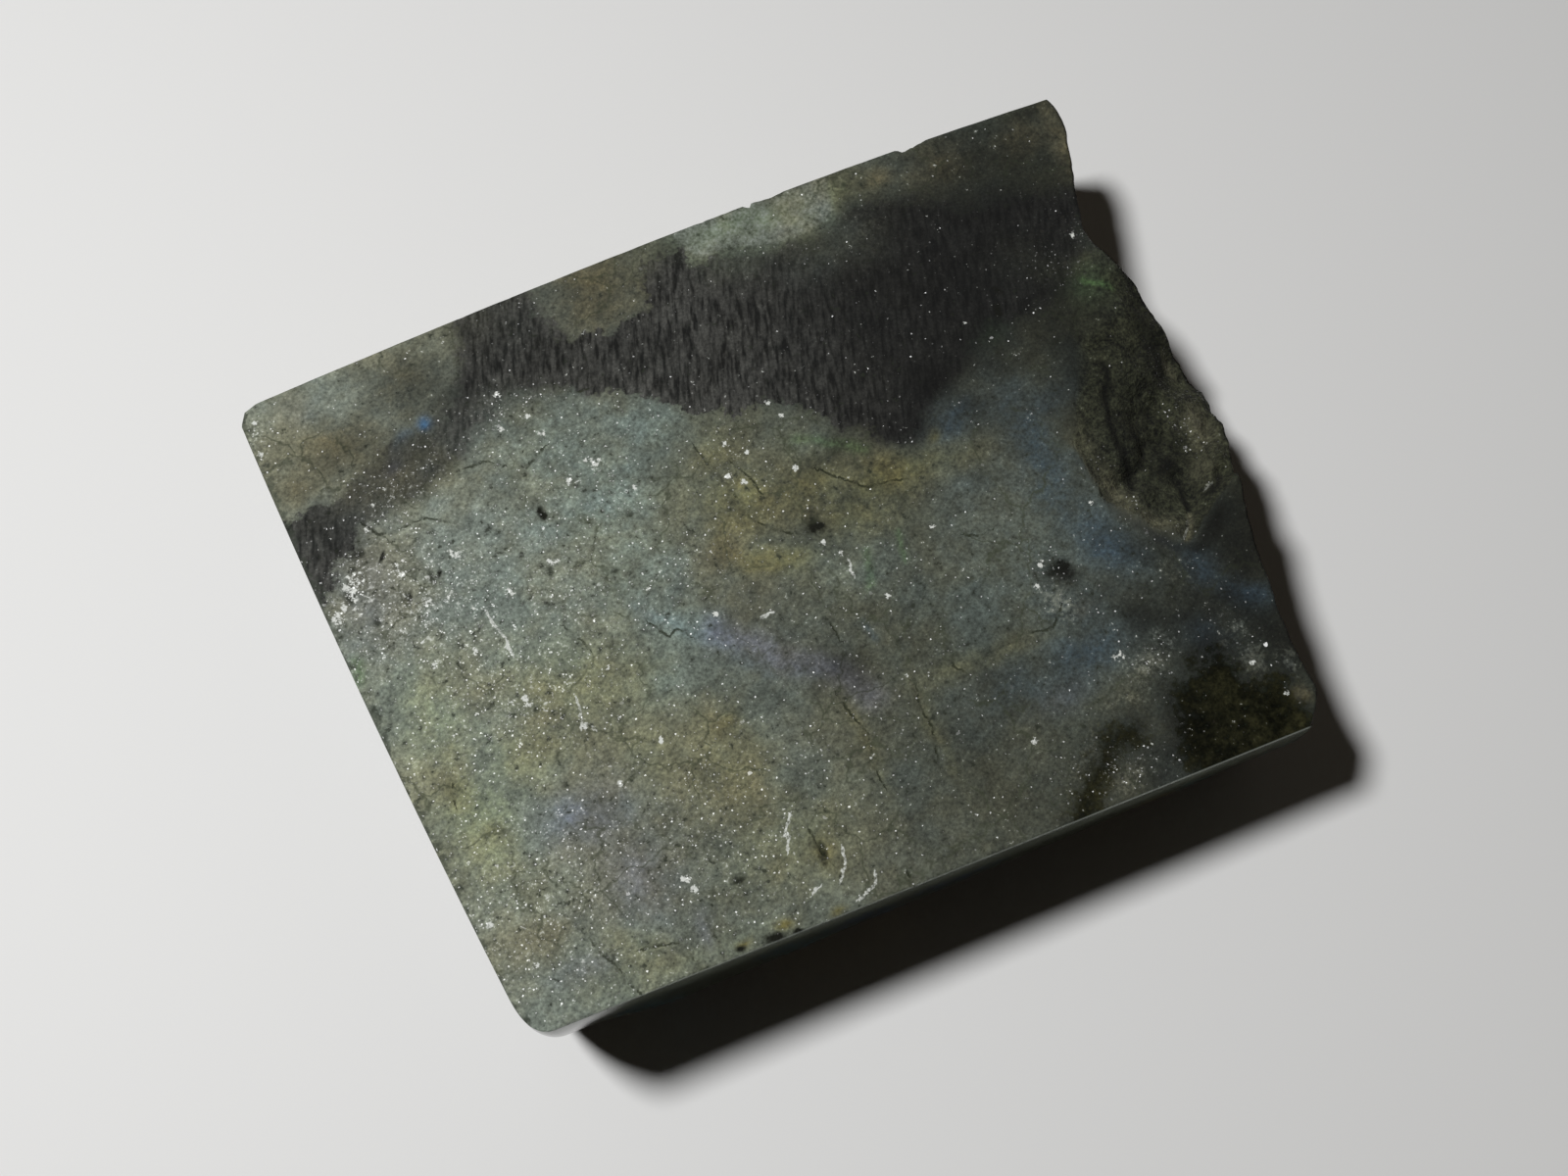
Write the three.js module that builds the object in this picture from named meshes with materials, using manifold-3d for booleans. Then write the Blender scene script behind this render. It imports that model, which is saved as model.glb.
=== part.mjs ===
// A partly polished labradorite: one sawn slab of dark feldspar, lying on its polished face
// with the rough sawn face up. It is a single stone, so it is a single closed solid.
//
// Millimetres, +Z up. The origin is under the middle of the stone, on the surface it lies on.
// +X runs along the long side, -Y is the polished flank, +X is the broken end.

import * as THREE from "three";
import { ConvexGeometry } from "three/addons/geometries/ConvexGeometry.js";
import { mergeVertices } from "three/addons/utils/BufferGeometryUtils.js";
import Module from "manifold-3d";

// Driving dimensions of the sawn slab.
const LENGTH = 70.2;
const WIDTH = 55.6;
const THICKNESS_MIDDLE = 14.4;
const TAPER = 0.04; // the saw cut falls this much per millimetre towards the broken end

// The polished face curls up at its rim. Each figure is how far the flat underside
// stays inside the outline, on the side it names.
const CURL_FRONT = 4.6;
const CURL_BACK = 1.4;
const CURL_LEFT = 2.6;
const CURL_RIGHT = 2.2;

// How much of the height the curl takes, where 1 is the whole wall.
const CURL_HEIGHT_FRONT_LEFT = 0.45; // at the left end of the polished flank
const CURL_HEIGHT_FRONT_RIGHT = 1; // at its right end, where the wall leans in from the very top
const CURL_HEIGHT_ELSEWHERE = 0.4;

// The broken end swells and hollows by this much between the sawn face and the underside.
const BREAK_SWELL = 0.7;

const WALL_ROWS = 12;
const HALF_LENGTH = LENGTH / 2;
const HALF_WIDTH = WIDTH / 2;

// Corners of the sawn face, seen from above.
const FRONT_LEFT = new THREE.Vector2(-29, -26.5);
const FRONT_RIGHT = new THREE.Vector2(28.2, -27.6);
const BACK_RIGHT = new THREE.Vector2(34, HALF_WIDTH);
const BACK_LEFT = new THREE.Vector2(-33.2, 25.3);
const LEFT_BACK = new THREE.Vector2(-HALF_LENGTH, 24);
const LEFT_FRONT = new THREE.Vector2(-31.3, -24);

// The broken end, from the front tip to the back corner: a slow bulge, a step beside
// the chip, the chip's swollen rim, and a notch below the back corner.
const BROKEN_END = [
  FRONT_RIGHT,
  new THREE.Vector2(29.7, -25.2),
  new THREE.Vector2(30.9, -16.2),
  new THREE.Vector2(32.6, -7.8),
  new THREE.Vector2(34.6, -3),
  new THREE.Vector2(HALF_LENGTH, 1.2),
  new THREE.Vector2(34.5, 6.2),
  new THREE.Vector2(33.2, 12),
  new THREE.Vector2(31.4, 15.2),
  new THREE.Vector2(32.8, 20.4),
  BACK_RIGHT,
];

// The large chip: a fracture that starts on the sawn face along its crest and falls to the
// rim of the broken end. Each place is X, Y and the depth below the sawn face. The crest's
// first and last places lie past the rim, so that both ends of the chip run out smoothly.
const CHIP_CREST = [
  [39, 16.5, 0],
  [30.4, 12.6, 0],
  [28.2, 6, 0.2],
  [23, 0.9, 0],
  [22.3, -2.8, 0],
  [23.7, -6.9, 0],
  [26.6, -11.2, 0],
  [39, -8.4, 0],
];
const CHIP_FLOOR = [
  [27.2, -2, 1.8],
  [27.4, -6, 1.7],
  [33.4, 7.5, 3.2],
  [37, 5, 4.2],
  [37, -2, 4.2],
  [33.4, -4.5, 3],
];
const CHIP_CLEARANCE = 3; // the cutting body stands this far above the sawn face

const STONE = new THREE.MeshStandardMaterial({
  color: "#6c7064",
  roughness: 0.6,
  metalness: 0,
});

// Height of the sawn face above a place in plan.
function sawnFace(x) {
  return THICKNESS_MIDDLE - TAPER * x;
}

// The outline of the sawn face, run anticlockwise as one list of points.
function outline() {
  const bowed = (from, middle, to) => new THREE.QuadraticBezierCurve(from, middle, to);
  const sides = [
    { curve: bowed(FRONT_LEFT, new THREE.Vector2(0, -28.1), FRONT_RIGHT), steps: 36 },
    { curve: new THREE.SplineCurve(BROKEN_END), steps: 44 },
    { curve: bowed(BACK_RIGHT, new THREE.Vector2(0, 27.4), BACK_LEFT), steps: 24 },
    { curve: new THREE.LineCurve(BACK_LEFT, LEFT_BACK), steps: 1 },
    { curve: bowed(LEFT_BACK, new THREE.Vector2(-33.4, 0), LEFT_FRONT), steps: 24 },
    { curve: bowed(LEFT_FRONT, new THREE.Vector2(-31.2, -26.6), FRONT_LEFT), steps: 6 },
  ];
  return new THREE.Shape(sides.flatMap(({ curve, steps }) => curve.getPoints(steps).slice(0, -1)));
}

// How far the wall has curled in at a share of its height: a quarter of an ellipse that is
// upright where the curl starts and lies flat at the underside. 0 is none, 1 is all of it.
function curl(height, curlHeight) {
  const below = Math.max(0, 1 - height / curlHeight);
  return 1 - Math.sqrt(1 - below * below);
}

// Moves one point of a straight-sided blank onto the stone's wall.
function settleOnStone(point, height) {
  const alongFront = THREE.MathUtils.clamp(point.x / LENGTH + 0.5, 0, 1);
  const frontCurlHeight = THREE.MathUtils.lerp(
    CURL_HEIGHT_FRONT_LEFT,
    CURL_HEIGHT_FRONT_RIGHT,
    alongFront,
  );
  const sideCurl = curl(height, CURL_HEIGHT_ELSEWHERE);
  const insetX = point.x < 0 ? CURL_LEFT * sideCurl : CURL_RIGHT * sideCurl;
  const insetY = point.y < 0 ? CURL_FRONT * curl(height, frontCurlHeight) : CURL_BACK * sideCurl;

  // The broken end also waves in and out, most at mid height and nothing at its two edges.
  const towardsBreak = THREE.MathUtils.smoothstep(point.x, 0.8 * HALF_LENGTH, HALF_LENGTH);
  const wave = Math.sin(0.55 * point.y + 5 * height) - 1;
  const swell = BREAK_SWELL * towardsBreak * wave * Math.sin(Math.PI * height);

  return new THREE.Vector3(
    point.x * (1 - insetX / HALF_LENGTH) + swell,
    point.y * (1 - insetY / HALF_WIDTH),
    height * sawnFace(point.x),
  );
}

// The slab: the outline raised as a unit-high blank, its rows packed towards the underside
// where the wall turns fastest, and every point settled on the stone's wall.
function slab() {
  const blank = new THREE.ExtrudeGeometry(outline(), {
    depth: 1,
    steps: WALL_ROWS,
    bevelEnabled: false,
  });
  const position = blank.getAttribute("position");
  const point = new THREE.Vector3();
  for (let i = 0; i < position.count; i += 1) {
    point.fromBufferAttribute(position, i);
    const height = 1 - Math.cos((point.z * Math.PI) / 2);
    const settled = settleOnStone(point, height);
    position.setXYZ(i, settled.x, settled.y, settled.z);
  }
  return blank;
}

// The body that the large chip took away.
function chip() {
  const place = ([x, y, depth]) => new THREE.Vector3(x, y, sawnFace(x) - depth);
  const above = ([x, y]) => new THREE.Vector3(x, y, sawnFace(x) + CHIP_CLEARANCE);
  return new ConvexGeometry([
    ...CHIP_CREST.map(place),
    ...CHIP_FLOOR.map(place),
    ...CHIP_CREST.map(above),
    ...CHIP_FLOOR.map(above),
  ]);
}

const wasm = await Module();
wasm.setup();

function toSolid(geometry) {
  const bare = geometry.clone();
  bare.deleteAttribute("normal");
  bare.deleteAttribute("uv");
  const merged = mergeVertices(bare, 1e-4);
  return new wasm.Manifold(
    new wasm.Mesh({
      numProp: 3,
      vertProperties: merged.getAttribute("position").array,
      triVerts: new Uint32Array(merged.getIndex().array),
    }),
  );
}

function toGeometry(solid) {
  const mesh = solid.getMesh();
  const geometry = new THREE.BufferGeometry();
  geometry.setAttribute("position", new THREE.BufferAttribute(mesh.vertProperties, 3));
  geometry.setIndex(new THREE.BufferAttribute(mesh.triVerts, 1));
  geometry.computeVertexNormals();
  return geometry;
}

const stone = new THREE.Mesh(toGeometry(toSolid(slab()).subtract(toSolid(chip()))), STONE);
stone.name = "labradorite_slab";

const group = new THREE.Group();
group.add(stone);

export default group;
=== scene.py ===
# %% [markdown]
# # A partly polished labradorite
#
# Labradorite is a dark plagioclase feldspar. This piece was sawn from rough, broken off at one
# end, and then ground and polished on the face that it lies on and on two flanks. What shows
# from above is the other side: the bare saw cut, grey-green and full of tiny cleavage glints,
# with a black band across it and dull patches of the blue flash that the polished faces show.
#
# The stone is one piece, so this lesson makes one closed mesh from two surfaces that share a
# rim: a grid for the sawn face, and a profile carried round the outline for the walls and the
# underside. It could be sculpted by hand, or cut from a block with booleans, but a function for
# each surface keeps every size readable. Lengths are in millimetres until the mesh is written.

import math

import bpy
import numpy as np
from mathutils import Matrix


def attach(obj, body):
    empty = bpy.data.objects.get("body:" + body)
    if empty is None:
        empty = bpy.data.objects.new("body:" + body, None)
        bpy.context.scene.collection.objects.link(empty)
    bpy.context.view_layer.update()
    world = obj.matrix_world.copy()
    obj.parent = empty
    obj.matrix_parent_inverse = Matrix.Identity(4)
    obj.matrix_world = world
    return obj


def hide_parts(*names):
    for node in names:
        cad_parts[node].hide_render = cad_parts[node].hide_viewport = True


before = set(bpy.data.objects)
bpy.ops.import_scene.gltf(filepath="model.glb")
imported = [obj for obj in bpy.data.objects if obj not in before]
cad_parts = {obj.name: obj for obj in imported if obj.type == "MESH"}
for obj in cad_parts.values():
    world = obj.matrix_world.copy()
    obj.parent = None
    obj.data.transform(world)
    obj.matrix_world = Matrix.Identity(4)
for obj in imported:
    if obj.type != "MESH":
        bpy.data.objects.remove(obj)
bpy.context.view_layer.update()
MM = 0.001

# %% [markdown]
# ## The camera
#
# The stone is seen from almost straight above, from a hand's width away, with the camera rolled
# so that the long side climbs to the right. A camera that close shows strong perspective, so
# its distance matters as much as its direction: both are set from real millimetres.

# %% Camera
CAMERA_PLACE = (-21.06, -46.34, 142.83)
CAMERA_TILT = 20.0  # degrees away from straight down
CAMERA_ROLL = -23.0
LENS = 42.75
SENSOR = 36.0

camera_data = bpy.data.cameras.new("close_up_camera")
camera_data.lens = LENS
camera_data.sensor_width = SENSOR
camera_data.clip_start = 5 * MM
camera_data.clip_end = 20.0
camera = bpy.data.objects.new("close_up_camera", camera_data)
camera.location = [c * MM for c in CAMERA_PLACE]
camera.rotation_euler = (math.radians(CAMERA_TILT), 0.0, math.radians(CAMERA_ROLL))
bpy.context.scene.collection.objects.link(camera)
bpy.context.scene.camera = camera
print("the camera is", round(math.hypot(*CAMERA_PLACE)), "mm from the middle of the stone's foot")

# %% [markdown]
# ## Random values that never change
#
# Stone needs irregularity, but the mesh has to come out the same each time. So the random
# numbers come from the place itself: a whole-number place is mixed into one large number, and
# that number is always the same. Noise blends these numbers smoothly between the places.

# %% Noise
MIXERS = np.array([374761393, 668265263, 1013904223])
MIXER = 1274126177
LARGEST = 0x7FFFFFFF


def fixed_random(place, seed):
    """A number from 0 to 1 for each whole-number place: its parts multiplied, added and mixed."""
    mixed = (place @ MIXERS[: place.shape[-1]] + seed * MIXER) & LARGEST
    mixed = ((mixed ^ (mixed >> 13)) * MIXER) & LARGEST
    return (mixed ^ (mixed >> 16)) / LARGEST


def noise(places, size, seed):
    """Smooth random values from -1 to 1 that change over about the given size in millimetres."""
    scaled = places / size
    low = np.floor(scaled).astype(np.int64)
    part = scaled - low
    part = part * part * (3 - 2 * part)
    total = np.zeros(len(places))
    for step in np.ndindex(*(2,) * places.shape[1]):
        weight = np.prod(np.where(step, part, 1 - part), axis=1)
        total += weight * fixed_random(low + np.array(step), seed)
    return 2 * total - 1


def rough(places, size, seed, layers=4):
    """Noise on noise: each layer is half as large and half as strong as the one before."""
    return sum(noise(places, size / 2**k, seed + k) / 2**k for k in range(layers))


def ramp(value, low, high):
    """0 below low, 1 above high, and a smooth slope between."""
    t = np.clip((value - low) / (high - low), 0, 1)
    return t * t * (3 - 2 * t)


# %% [markdown]
# ## The outline of the slab
#
# The saw leaves almost straight sides that bow outwards a little, so each sawn side is one
# quadratic curve. The broken end has no such rule. It is a Catmull-Rom curve through a few
# places, which passes through every one of them and stays smooth between. Small nicks then
# break the back edge and the broken end, where nobody ground the stone, and two larger ones
# have a place of their own on the back edge.

# %% Outline
HALF_LENGTH = 35.1
HALF_WIDTH = 27.8
THICKNESS_MIDDLE = 14.4
TAPER = 0.04  # the saw cut falls this much per millimetre towards the broken end

FRONT_LEFT = (-29.2, -26.7)
FRONT_RIGHT = (28.2, -27.6)
BACK_RIGHT = (33.9, 28.0)
BACK_LEFT = (-33.8, 25.4)
LEFT_BACK = (-35.4, 24.0)
LEFT_FRONT = (-31.5, -23.6)
BROKEN_END = [
    FRONT_RIGHT,
    (29.9, -25.3),
    (29.9, -22.5),
    (31.0, -15.3),
    (32.4, -8.0),
    (34.6, -3.0),
    (34.5, 1.2),
    (33.9, 6.2),
    (32.7, 11.8),
    (31.4, 15.2),
    (32.1, 18.8),
    (33.3, 22.0),
    (34.2, 25.9),
    BACK_RIGHT,
]


def bowed(start, pull, end, steps=200):
    """A quadratic curve: the start and the end, both drawn towards a third place between them."""
    t = np.linspace(0.0, 1.0, steps)[:, None]
    return (1 - t) ** 2 * np.array(start) + 2 * t * (1 - t) * np.array(pull) + t**2 * np.array(end)


def through(places, steps=400):
    """A Catmull-Rom curve: at each place it runs parallel to the line between its neighbours.

    Each part is a cubic in the share of the way from its start to its end."""
    padded = np.array([places[0], *places, places[-1]], float)
    at = np.linspace(0.0, len(places) - 1.001, steps)
    first = at.astype(int)
    share = (at - first)[:, None]
    before, start, end, after = (padded[first + k] for k in range(4))
    straight = end - before
    squared = 2 * before - 5 * start + 4 * end - after
    cubed = 3 * (start - end) + after - before
    return start + 0.5 * share * (straight + share * (squared + share * cubed))


def spread(curve, count):
    """The same curve as count + 1 points that are equally far apart."""
    length = np.concatenate([[0], np.cumsum(np.linalg.norm(np.diff(curve, axis=0), axis=1))])
    at = np.linspace(0, length[-1], count + 1)
    return np.column_stack([np.interp(at, length, curve[:, 0]), np.interp(at, length, curve[:, 1])])


COLUMNS = 272  # steps along the front and the back
ROWS = 212  # steps along the left side and the broken end

CORNER_STEPS = 40
corner = bowed(LEFT_FRONT, (-31.1, -26.8), FRONT_LEFT, CORNER_STEPS)
corner_front = corner[CORNER_STEPS // 2 :]
corner_left = corner[CORNER_STEPS // 2 :: -1]
CHAMFER_BOW = (-0.25, 0.3)
chamfer_middle = (np.array(BACK_LEFT) + np.array(LEFT_BACK)) / 2 + CHAMFER_BOW
front = spread(np.vstack([corner_front, bowed(FRONT_LEFT, (0.0, -27.25), FRONT_RIGHT)]), COLUMNS)
broken = spread(through(BROKEN_END), ROWS)
back = spread(np.vstack([[chamfer_middle], bowed(BACK_LEFT, (6.0, 28.6), BACK_RIGHT)]), COLUMNS)
left = np.vstack([corner_left, bowed(LEFT_FRONT, (-34.2, 0.0), LEFT_BACK), [chamfer_middle]])
left = spread(left, ROWS)
print("outline sides have", COLUMNS, "and", ROWS, "steps")

# %% Nicks
NICK_SIZE = 2.2
NICK_DEPTH = 0.15
LARGE_NICKS = [(20.8, 0.5, 1.6), (7.2, 0.3, 0.4)]  # deepest at this X, and its width on each side
LARGE_NICK_DEPTH = 0.38
BREAK_SIZE = 2.5
BREAK_DEPTH = 0.3


def along_side(steps):
    """1 along a side and 0 at its two ends, so that the corners stay in place."""
    return np.sin(np.linspace(0, np.pi, steps + 1)) ** 0.3


back[:, 1] -= along_side(COLUMNS) * NICK_DEPTH * ramp(rough(back, NICK_SIZE, 5), 0.35, 1.0)
for deepest, before, after in LARGE_NICKS:
    into = ramp(back[:, 0], deepest - before, deepest)
    out_again = ramp(back[:, 0], deepest, deepest + after)
    back[:, 1] -= LARGE_NICK_DEPTH * (into * (1 - out_again))
broken[:, 0] += BREAK_DEPTH * along_side(ROWS) * rough(broken, BREAK_SIZE, 6)
print("the back edge is nicked by up to", LARGE_NICK_DEPTH, "mm")

# %% [markdown]
# ## Tools that place things on the stone
#
# Everything that is drawn on the face is given by places in millimetres: a line through several
# places, a polygon, or soft ovals. Each tool turns such a list into a distance or an amount for
# all points at once.

# %% Distances
FAR = 9.0  # stands for any distance that is too long to matter


def to_segments(plan, line):
    """Gap from each place to each straight part of a line, and the gap's length."""
    line = np.array(line, float)
    step = np.diff(line, axis=0)
    start_gap = plan[:, None] - line[:-1]
    along = np.clip((start_gap * step).sum(2) / (step**2).sum(1), 0, 1)
    gap = start_gap - along[..., None] * step
    return gap, np.linalg.norm(gap, axis=2), step


def away(plan, line):
    """Distance from each place to the nearest point of a line through several places."""
    return to_segments(plan, line)[1].min(1)


def side_of(plan, lines):
    """Distance to the nearest of several lines, above 0 on one side of it and below 0 on the other.

    A signed distance passes evenly through 0 at the line, so a line drawn from it can be much
    thinner than the mesh's own steps."""
    side = np.full(len(plan), FAR)
    for line in lines:
        gap, length, step = to_segments(plan, line)
        nearest = (np.arange(len(plan)), length.argmin(1))
        cross = step[nearest[1], 0] * gap[nearest][:, 1] - step[nearest[1], 1] * gap[nearest][:, 0]
        signed = np.copysign(length[nearest], cross)
        side = np.where(np.abs(signed) < np.abs(side), signed, side)
    return side


def inside(plan, polygon):
    """Distance to the edge of a polygon: above 0 inside it, and below 0 outside it."""
    ring = np.array([*polygon, polygon[0]], float)
    x, y = plan[:, :1], plan[:, 1:]
    (x0, y0), (x1, y1) = ring[:-1].T, ring[1:].T
    climb = np.where(y1 == y0, 1e-9, y1 - y0)
    crosses = ((y0 > y) != (y1 > y)) & (x < (x1 - x0) * (y - y0) / climb + x0)
    return np.where(crosses.sum(1) % 2 == 1, 1.0, -1.0) * away(plan, ring)


def beyond(plan, line):
    """Distance from the straight line through two places, above 0 on its left-hand side."""
    start, end = np.array(line, float)
    step = (end - start) / np.linalg.norm(end - start)
    gap = plan - start
    return step[0] * gap[:, 1] - step[1] * gap[:, 0]


def facets(places, size, slope, seed):
    """Fracture facets: a tilted bowl hangs from each random seed, and the lowest bowl wins.

    Bowl = slope * (2 * (gap . tilt) + 0.6 * gap * gap / size), with tilts from -0.5 to 0.5. Places
    and size are in millimetres. The result is about 0 on average and changes by about slope
    millimetres for each millimetre."""
    cell = np.floor(places / size).astype(np.int64)
    lowest = np.full(len(places), np.inf)
    for step in np.ndindex(3, 3):
        home = cell + np.array(step) - 1
        shift = np.column_stack([fixed_random(home, seed), fixed_random(home, seed + 1)])
        tilt = np.column_stack([fixed_random(home, seed + 2), fixed_random(home, seed + 3)]) - 0.5
        gap = places - (home + shift) * size
        bowl = 2 * slope * (gap * tilt).sum(1) + 0.6 * slope * (gap**2).sum(1) / size
        lowest = np.minimum(lowest, bowl)
    return lowest


# %% [markdown]
# ## The sawn face
#
# The four sides are known, so the face between them is a Coons patch: the blend of front and
# back, plus the blend of left and right, less the blend of the corners that both already hold.
# Its grid is fine enough, at about 0.26 mm, for cracks and pits to be real dents.

# %% The grid between the four sides
u = np.linspace(0, 1, COLUMNS + 1)[:, None, None]
v = np.linspace(0, 1, ROWS + 1)[None, :, None]
ends_of_front = (1 - u) * front[0] + u * front[-1]
ends_of_back = (1 - u) * back[0] + u * back[-1]
between_front_and_back = (1 - v) * front[:, None] + v * back[:, None]
between_left_and_broken = (1 - u) * left + u * broken
sheet = between_front_and_back + between_left_and_broken - (1 - v) * ends_of_front - v * ends_of_back
plan = sheet.reshape(-1, 2)
print("the sawn face has", len(plan), "points")

# %% [markdown]
# ## The chip
#
# A large flake is missing from the broken end. Its floor is made of fracture planes: a shelf that
# falls gently from the north-west and then drops to the break, and three steeper planes that
# close it on the west and the south. The shallowest plane is the one that shows, so the depth of
# the chip at a place is the smallest of their depths. A low step runs along the chip's edge, and
# dies out towards the north, where the flake broke away gently. A groove splits the shelf from
# the drop, a slab stands up again at the outer edge, and facets roughen it all.

# %% Depth of the chip
CHIP_NORTH_WEST = ((31.3, 15.2), (22.4, 1.2))
CHIP_WEST = ((22.1, 1.0), (22.1, -6.0))
CHIP_SOUTH_WEST = ((22.2, -5.6), (26.5, -11.5))
CHIP_SOUTH = ((26.5, -11.4), (32.0, -8.0))
SHELF_SLOPE = 0.14
SHELF_WIDTH = 4.0
DROP_SLOPE = 0.62
WEST_SLOPE = 0.4
SOUTH_WEST_SLOPE = 0.5
SOUTH_SLOPE = 1.2
LIP = 0.3  # height of the step at the chip's edge
LIP_SLOPE_DEPTH = 0.12  # the step is full height once the plane has fallen by this much
LIP_LOST = 0.85  # the share of the step that is gone in the north
LIP_FADES = (1.0, 6.0)  # the Y where that starts and ends
CHIP_FACETS = [(2.9, 0.42, 21), (1.05, 0.34, 31)]  # size, slope and seed
GROOVE = [(28.2, 6.4), (27.4, 3.6), (26.4, 1.4), (26.0, -0.8), (25.6, -2.8), (25.4, -5.2)]
GROOVE_DEPTH = 0.22
GROOVE_WIDTH = 0.5
SLAB = [(31.8, 0.5), (31.4, -3.5), (30.4, -8.0), (33.0, -6.6), (35.0, -3.0), (35.2, 1.0)]
SLAB_RISE = 1.8
SLAB_EDGE = 1.2


def chip_depth(plan):
    """How far the chip lies below the sawn face, and 0 outside it."""
    inwards = beyond(plan, CHIP_NORTH_WEST) + 0.5 * rough(plan, 3.0, 11)
    drop = (DROP_SLOPE - SHELF_SLOPE) * np.maximum(0, inwards - SHELF_WIDTH)
    west = WEST_SLOPE * (beyond(plan, CHIP_WEST) + 0.3 * rough(plan, 2.0, 14))
    south_west = SOUTH_WEST_SLOPE * (beyond(plan, CHIP_SOUTH_WEST) + 0.45 * rough(plan, 2.0, 12))
    south = SOUTH_SLOPE * (beyond(plan, CHIP_SOUTH) + 0.25 * rough(plan, 1.5, 13))
    fall = np.minimum.reduce([SHELF_SLOPE * inwards + drop, west, south_west, south])
    step = LIP * ramp(fall, 0.0, LIP_SLOPE_DEPTH) * (1 - LIP_LOST * ramp(plan[:, 1], *LIP_FADES))
    relief = sum(facets(plan, *facet) for facet in CHIP_FACETS)
    groove = GROOVE_DEPTH * np.exp(-((away(plan, GROOVE) / GROOVE_WIDTH) ** 2))
    slab = SLAB_RISE * ramp(inside(plan, SLAB), -SLAB_EDGE, SLAB_EDGE)
    dented = (relief + groove) * ramp(fall, 0, 0.9)
    raised = slab * ramp(fall, 0.8, 2.5)
    return np.maximum(0, fall + step + dented - raised)


depth = chip_depth(plan)
print("the chip covers", round(100 * np.mean(depth > 0), 1), "% and is", round(depth.max(), 1), "mm deep")

# %% [markdown]
# ## Cracks and pits
#
# The blade leaves a face that is flat to a few hundredths of a millimetre. What breaks it are cleavage
# cracks, and small pits where grains were plucked out. Both are dents of a known width, so each is a
# distance turned into a depth. The same lists colour them later: a crack is dark green inside, because
# chlorite grew along it, and a pit is darkened as painted shade in its dent.

# %% Cracks and pits
CRACKS = [
    [(-4.6, 9.6), (-3.8, 7.0), (-3.3, 5.6), (-3.1, 4.0), (-2.9, 2.7), (-1.7, 1.3), (-0.3, 0.3)],
    [(-2.4, 7.4), (-1.6, 5.6), (-1.4, 4.2)],
    [(3.4, 4.4), (5.1, 2.8), (6.3, 1.7), (8.0, 1.6), (9.0, 1.4)],
    [(-29.6, 13.2), (-28.8, 11.9), (-27.8, 11.6), (-26.3, 11.8), (-25.1, 11.8), (-23.3, 10.6)],
    [(-20.8, 14.5), (-19.4, 14.4), (-18.4, 13.6)],
    [(-12.4, 18.4), (-11.3, 17.3), (-10.4, 17.3)],
    [(-18.6, -0.3), (-17.8, -1.6), (-17.7, -2.3)],
    [(-29.8, -7.6), (-30.3, -9.4)],
    [(-25.3, -20.8), (-24.6, -23.3), (-24.0, -24.3), (-23.6, -25.7), (-23.2, -26.7)],
    [(-21.9, -23.9), (-20.8, -24.1), (-19.4, -24.5), (-19.0, -25.9)],
    [(-2.4, -12.4), (-2.1, -14.2), (-1.5, -15.8), (-2.1, -18.4), (-2.1, -19.7)],
    [(3.0, -14.3), (2.7, -15.6), (2.9, -17.1), (2.2, -20.0)],
    [(6.2, -13.4), (7.0, -14.7), (9.1, -13.7), (12.2, -13.2), (14.2, -13.7), (15.5, -12.4)],
    [(-0.7, -7.2), (-0.6, -8.4)],
    [(-8.2, -20.7), (-8.1, -22.3), (-7.7, -23.4)],
    [(-3.0, -26.0), (-3.0, -27.1)],
    [(-12.8, -2.2), (-12.0, -3.6), (-11.2, -3.2), (-10.6, -4.1)],
    [(-15.1, 13.8), (-16.0, 13.3), (-16.9, 12.8)],
    [(11.4, -4.6), (12.6, -5.1), (13.4, -4.9)],
]
CRACK_DEPTH = 0.1
CRACK_WIDTH = 0.25
PITS = [  # where each is, and the way it is drawn out
    ((-17.1, 8.9), (0.3, 0.8)),
    ((-26.3, 7.2), (0.3, 1.0)),
    ((-28.4, 6.4), (0.25, 0.6)),
    ((-18.1, 4.4), (0.3, 0.5)),
    ((-11.1, 6.4), (0.3, 0.3)),
    ((-13.7, 2.6), (0.4, 0.3)),
    ((-30.4, 10.9), (0.4, 0.4)),
    ((-32.2, 8.0), (0.5, 0.9)),
    ((-31.0, 5.4), (0.4, 0.5)),
    ((-14.1, -22.1), (0.7, 0.3)),
    ((-25.5, -3.6), (0.35, 0.3)),
    ((-7.9, -22.2), (0.35, 0.9)),
    ((1.3, 0.7), (0.6, 0.6)),
    ((16.4, -9.7), (1.1, 0.4)),
]
PIT_DEPTH = 0.3
print("the", len(CRACKS), "cracks have", sum(map(len, CRACKS)), "places")

# %% Height of the sawn face
UNEVENNESS = 0.02
UNEVEN_SIZE = 1.6


def pit_amount(plan):
    """How much of a pit is at each place: the strongest of the pits' bell curves."""
    return np.maximum.reduce([np.exp(-(((plan - place) / size) ** 2).sum(1)) for place, size in PITS])


def sawn_height(plan):
    """The tapered saw cut, less the chip, the cracks, the pits and a little unevenness."""
    crack = np.exp(-((side_of(plan, CRACKS) / CRACK_WIDTH) ** 2))
    dents = CRACK_DEPTH * crack + PIT_DEPTH * pit_amount(plan)
    uneven = UNEVENNESS * rough(plan, UNEVEN_SIZE, 41)
    return THICKNESS_MIDDLE - TAPER * plan[:, 0] - chip_depth(plan) - dents + uneven


face = np.column_stack([plan, sawn_height(plan)])
face_index = np.arange(len(plan)).reshape(COLUMNS + 1, ROWS + 1)
rim = np.concatenate(
    [face_index[:-1, 0], face_index[-1, :-1], face_index[:0:-1, -1], face_index[0, :0:-1]]
)
RIM_BEVEL = 0.05
face[rim, 2] -= RIM_BEVEL
print("the rim has", len(rim), "points")

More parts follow.
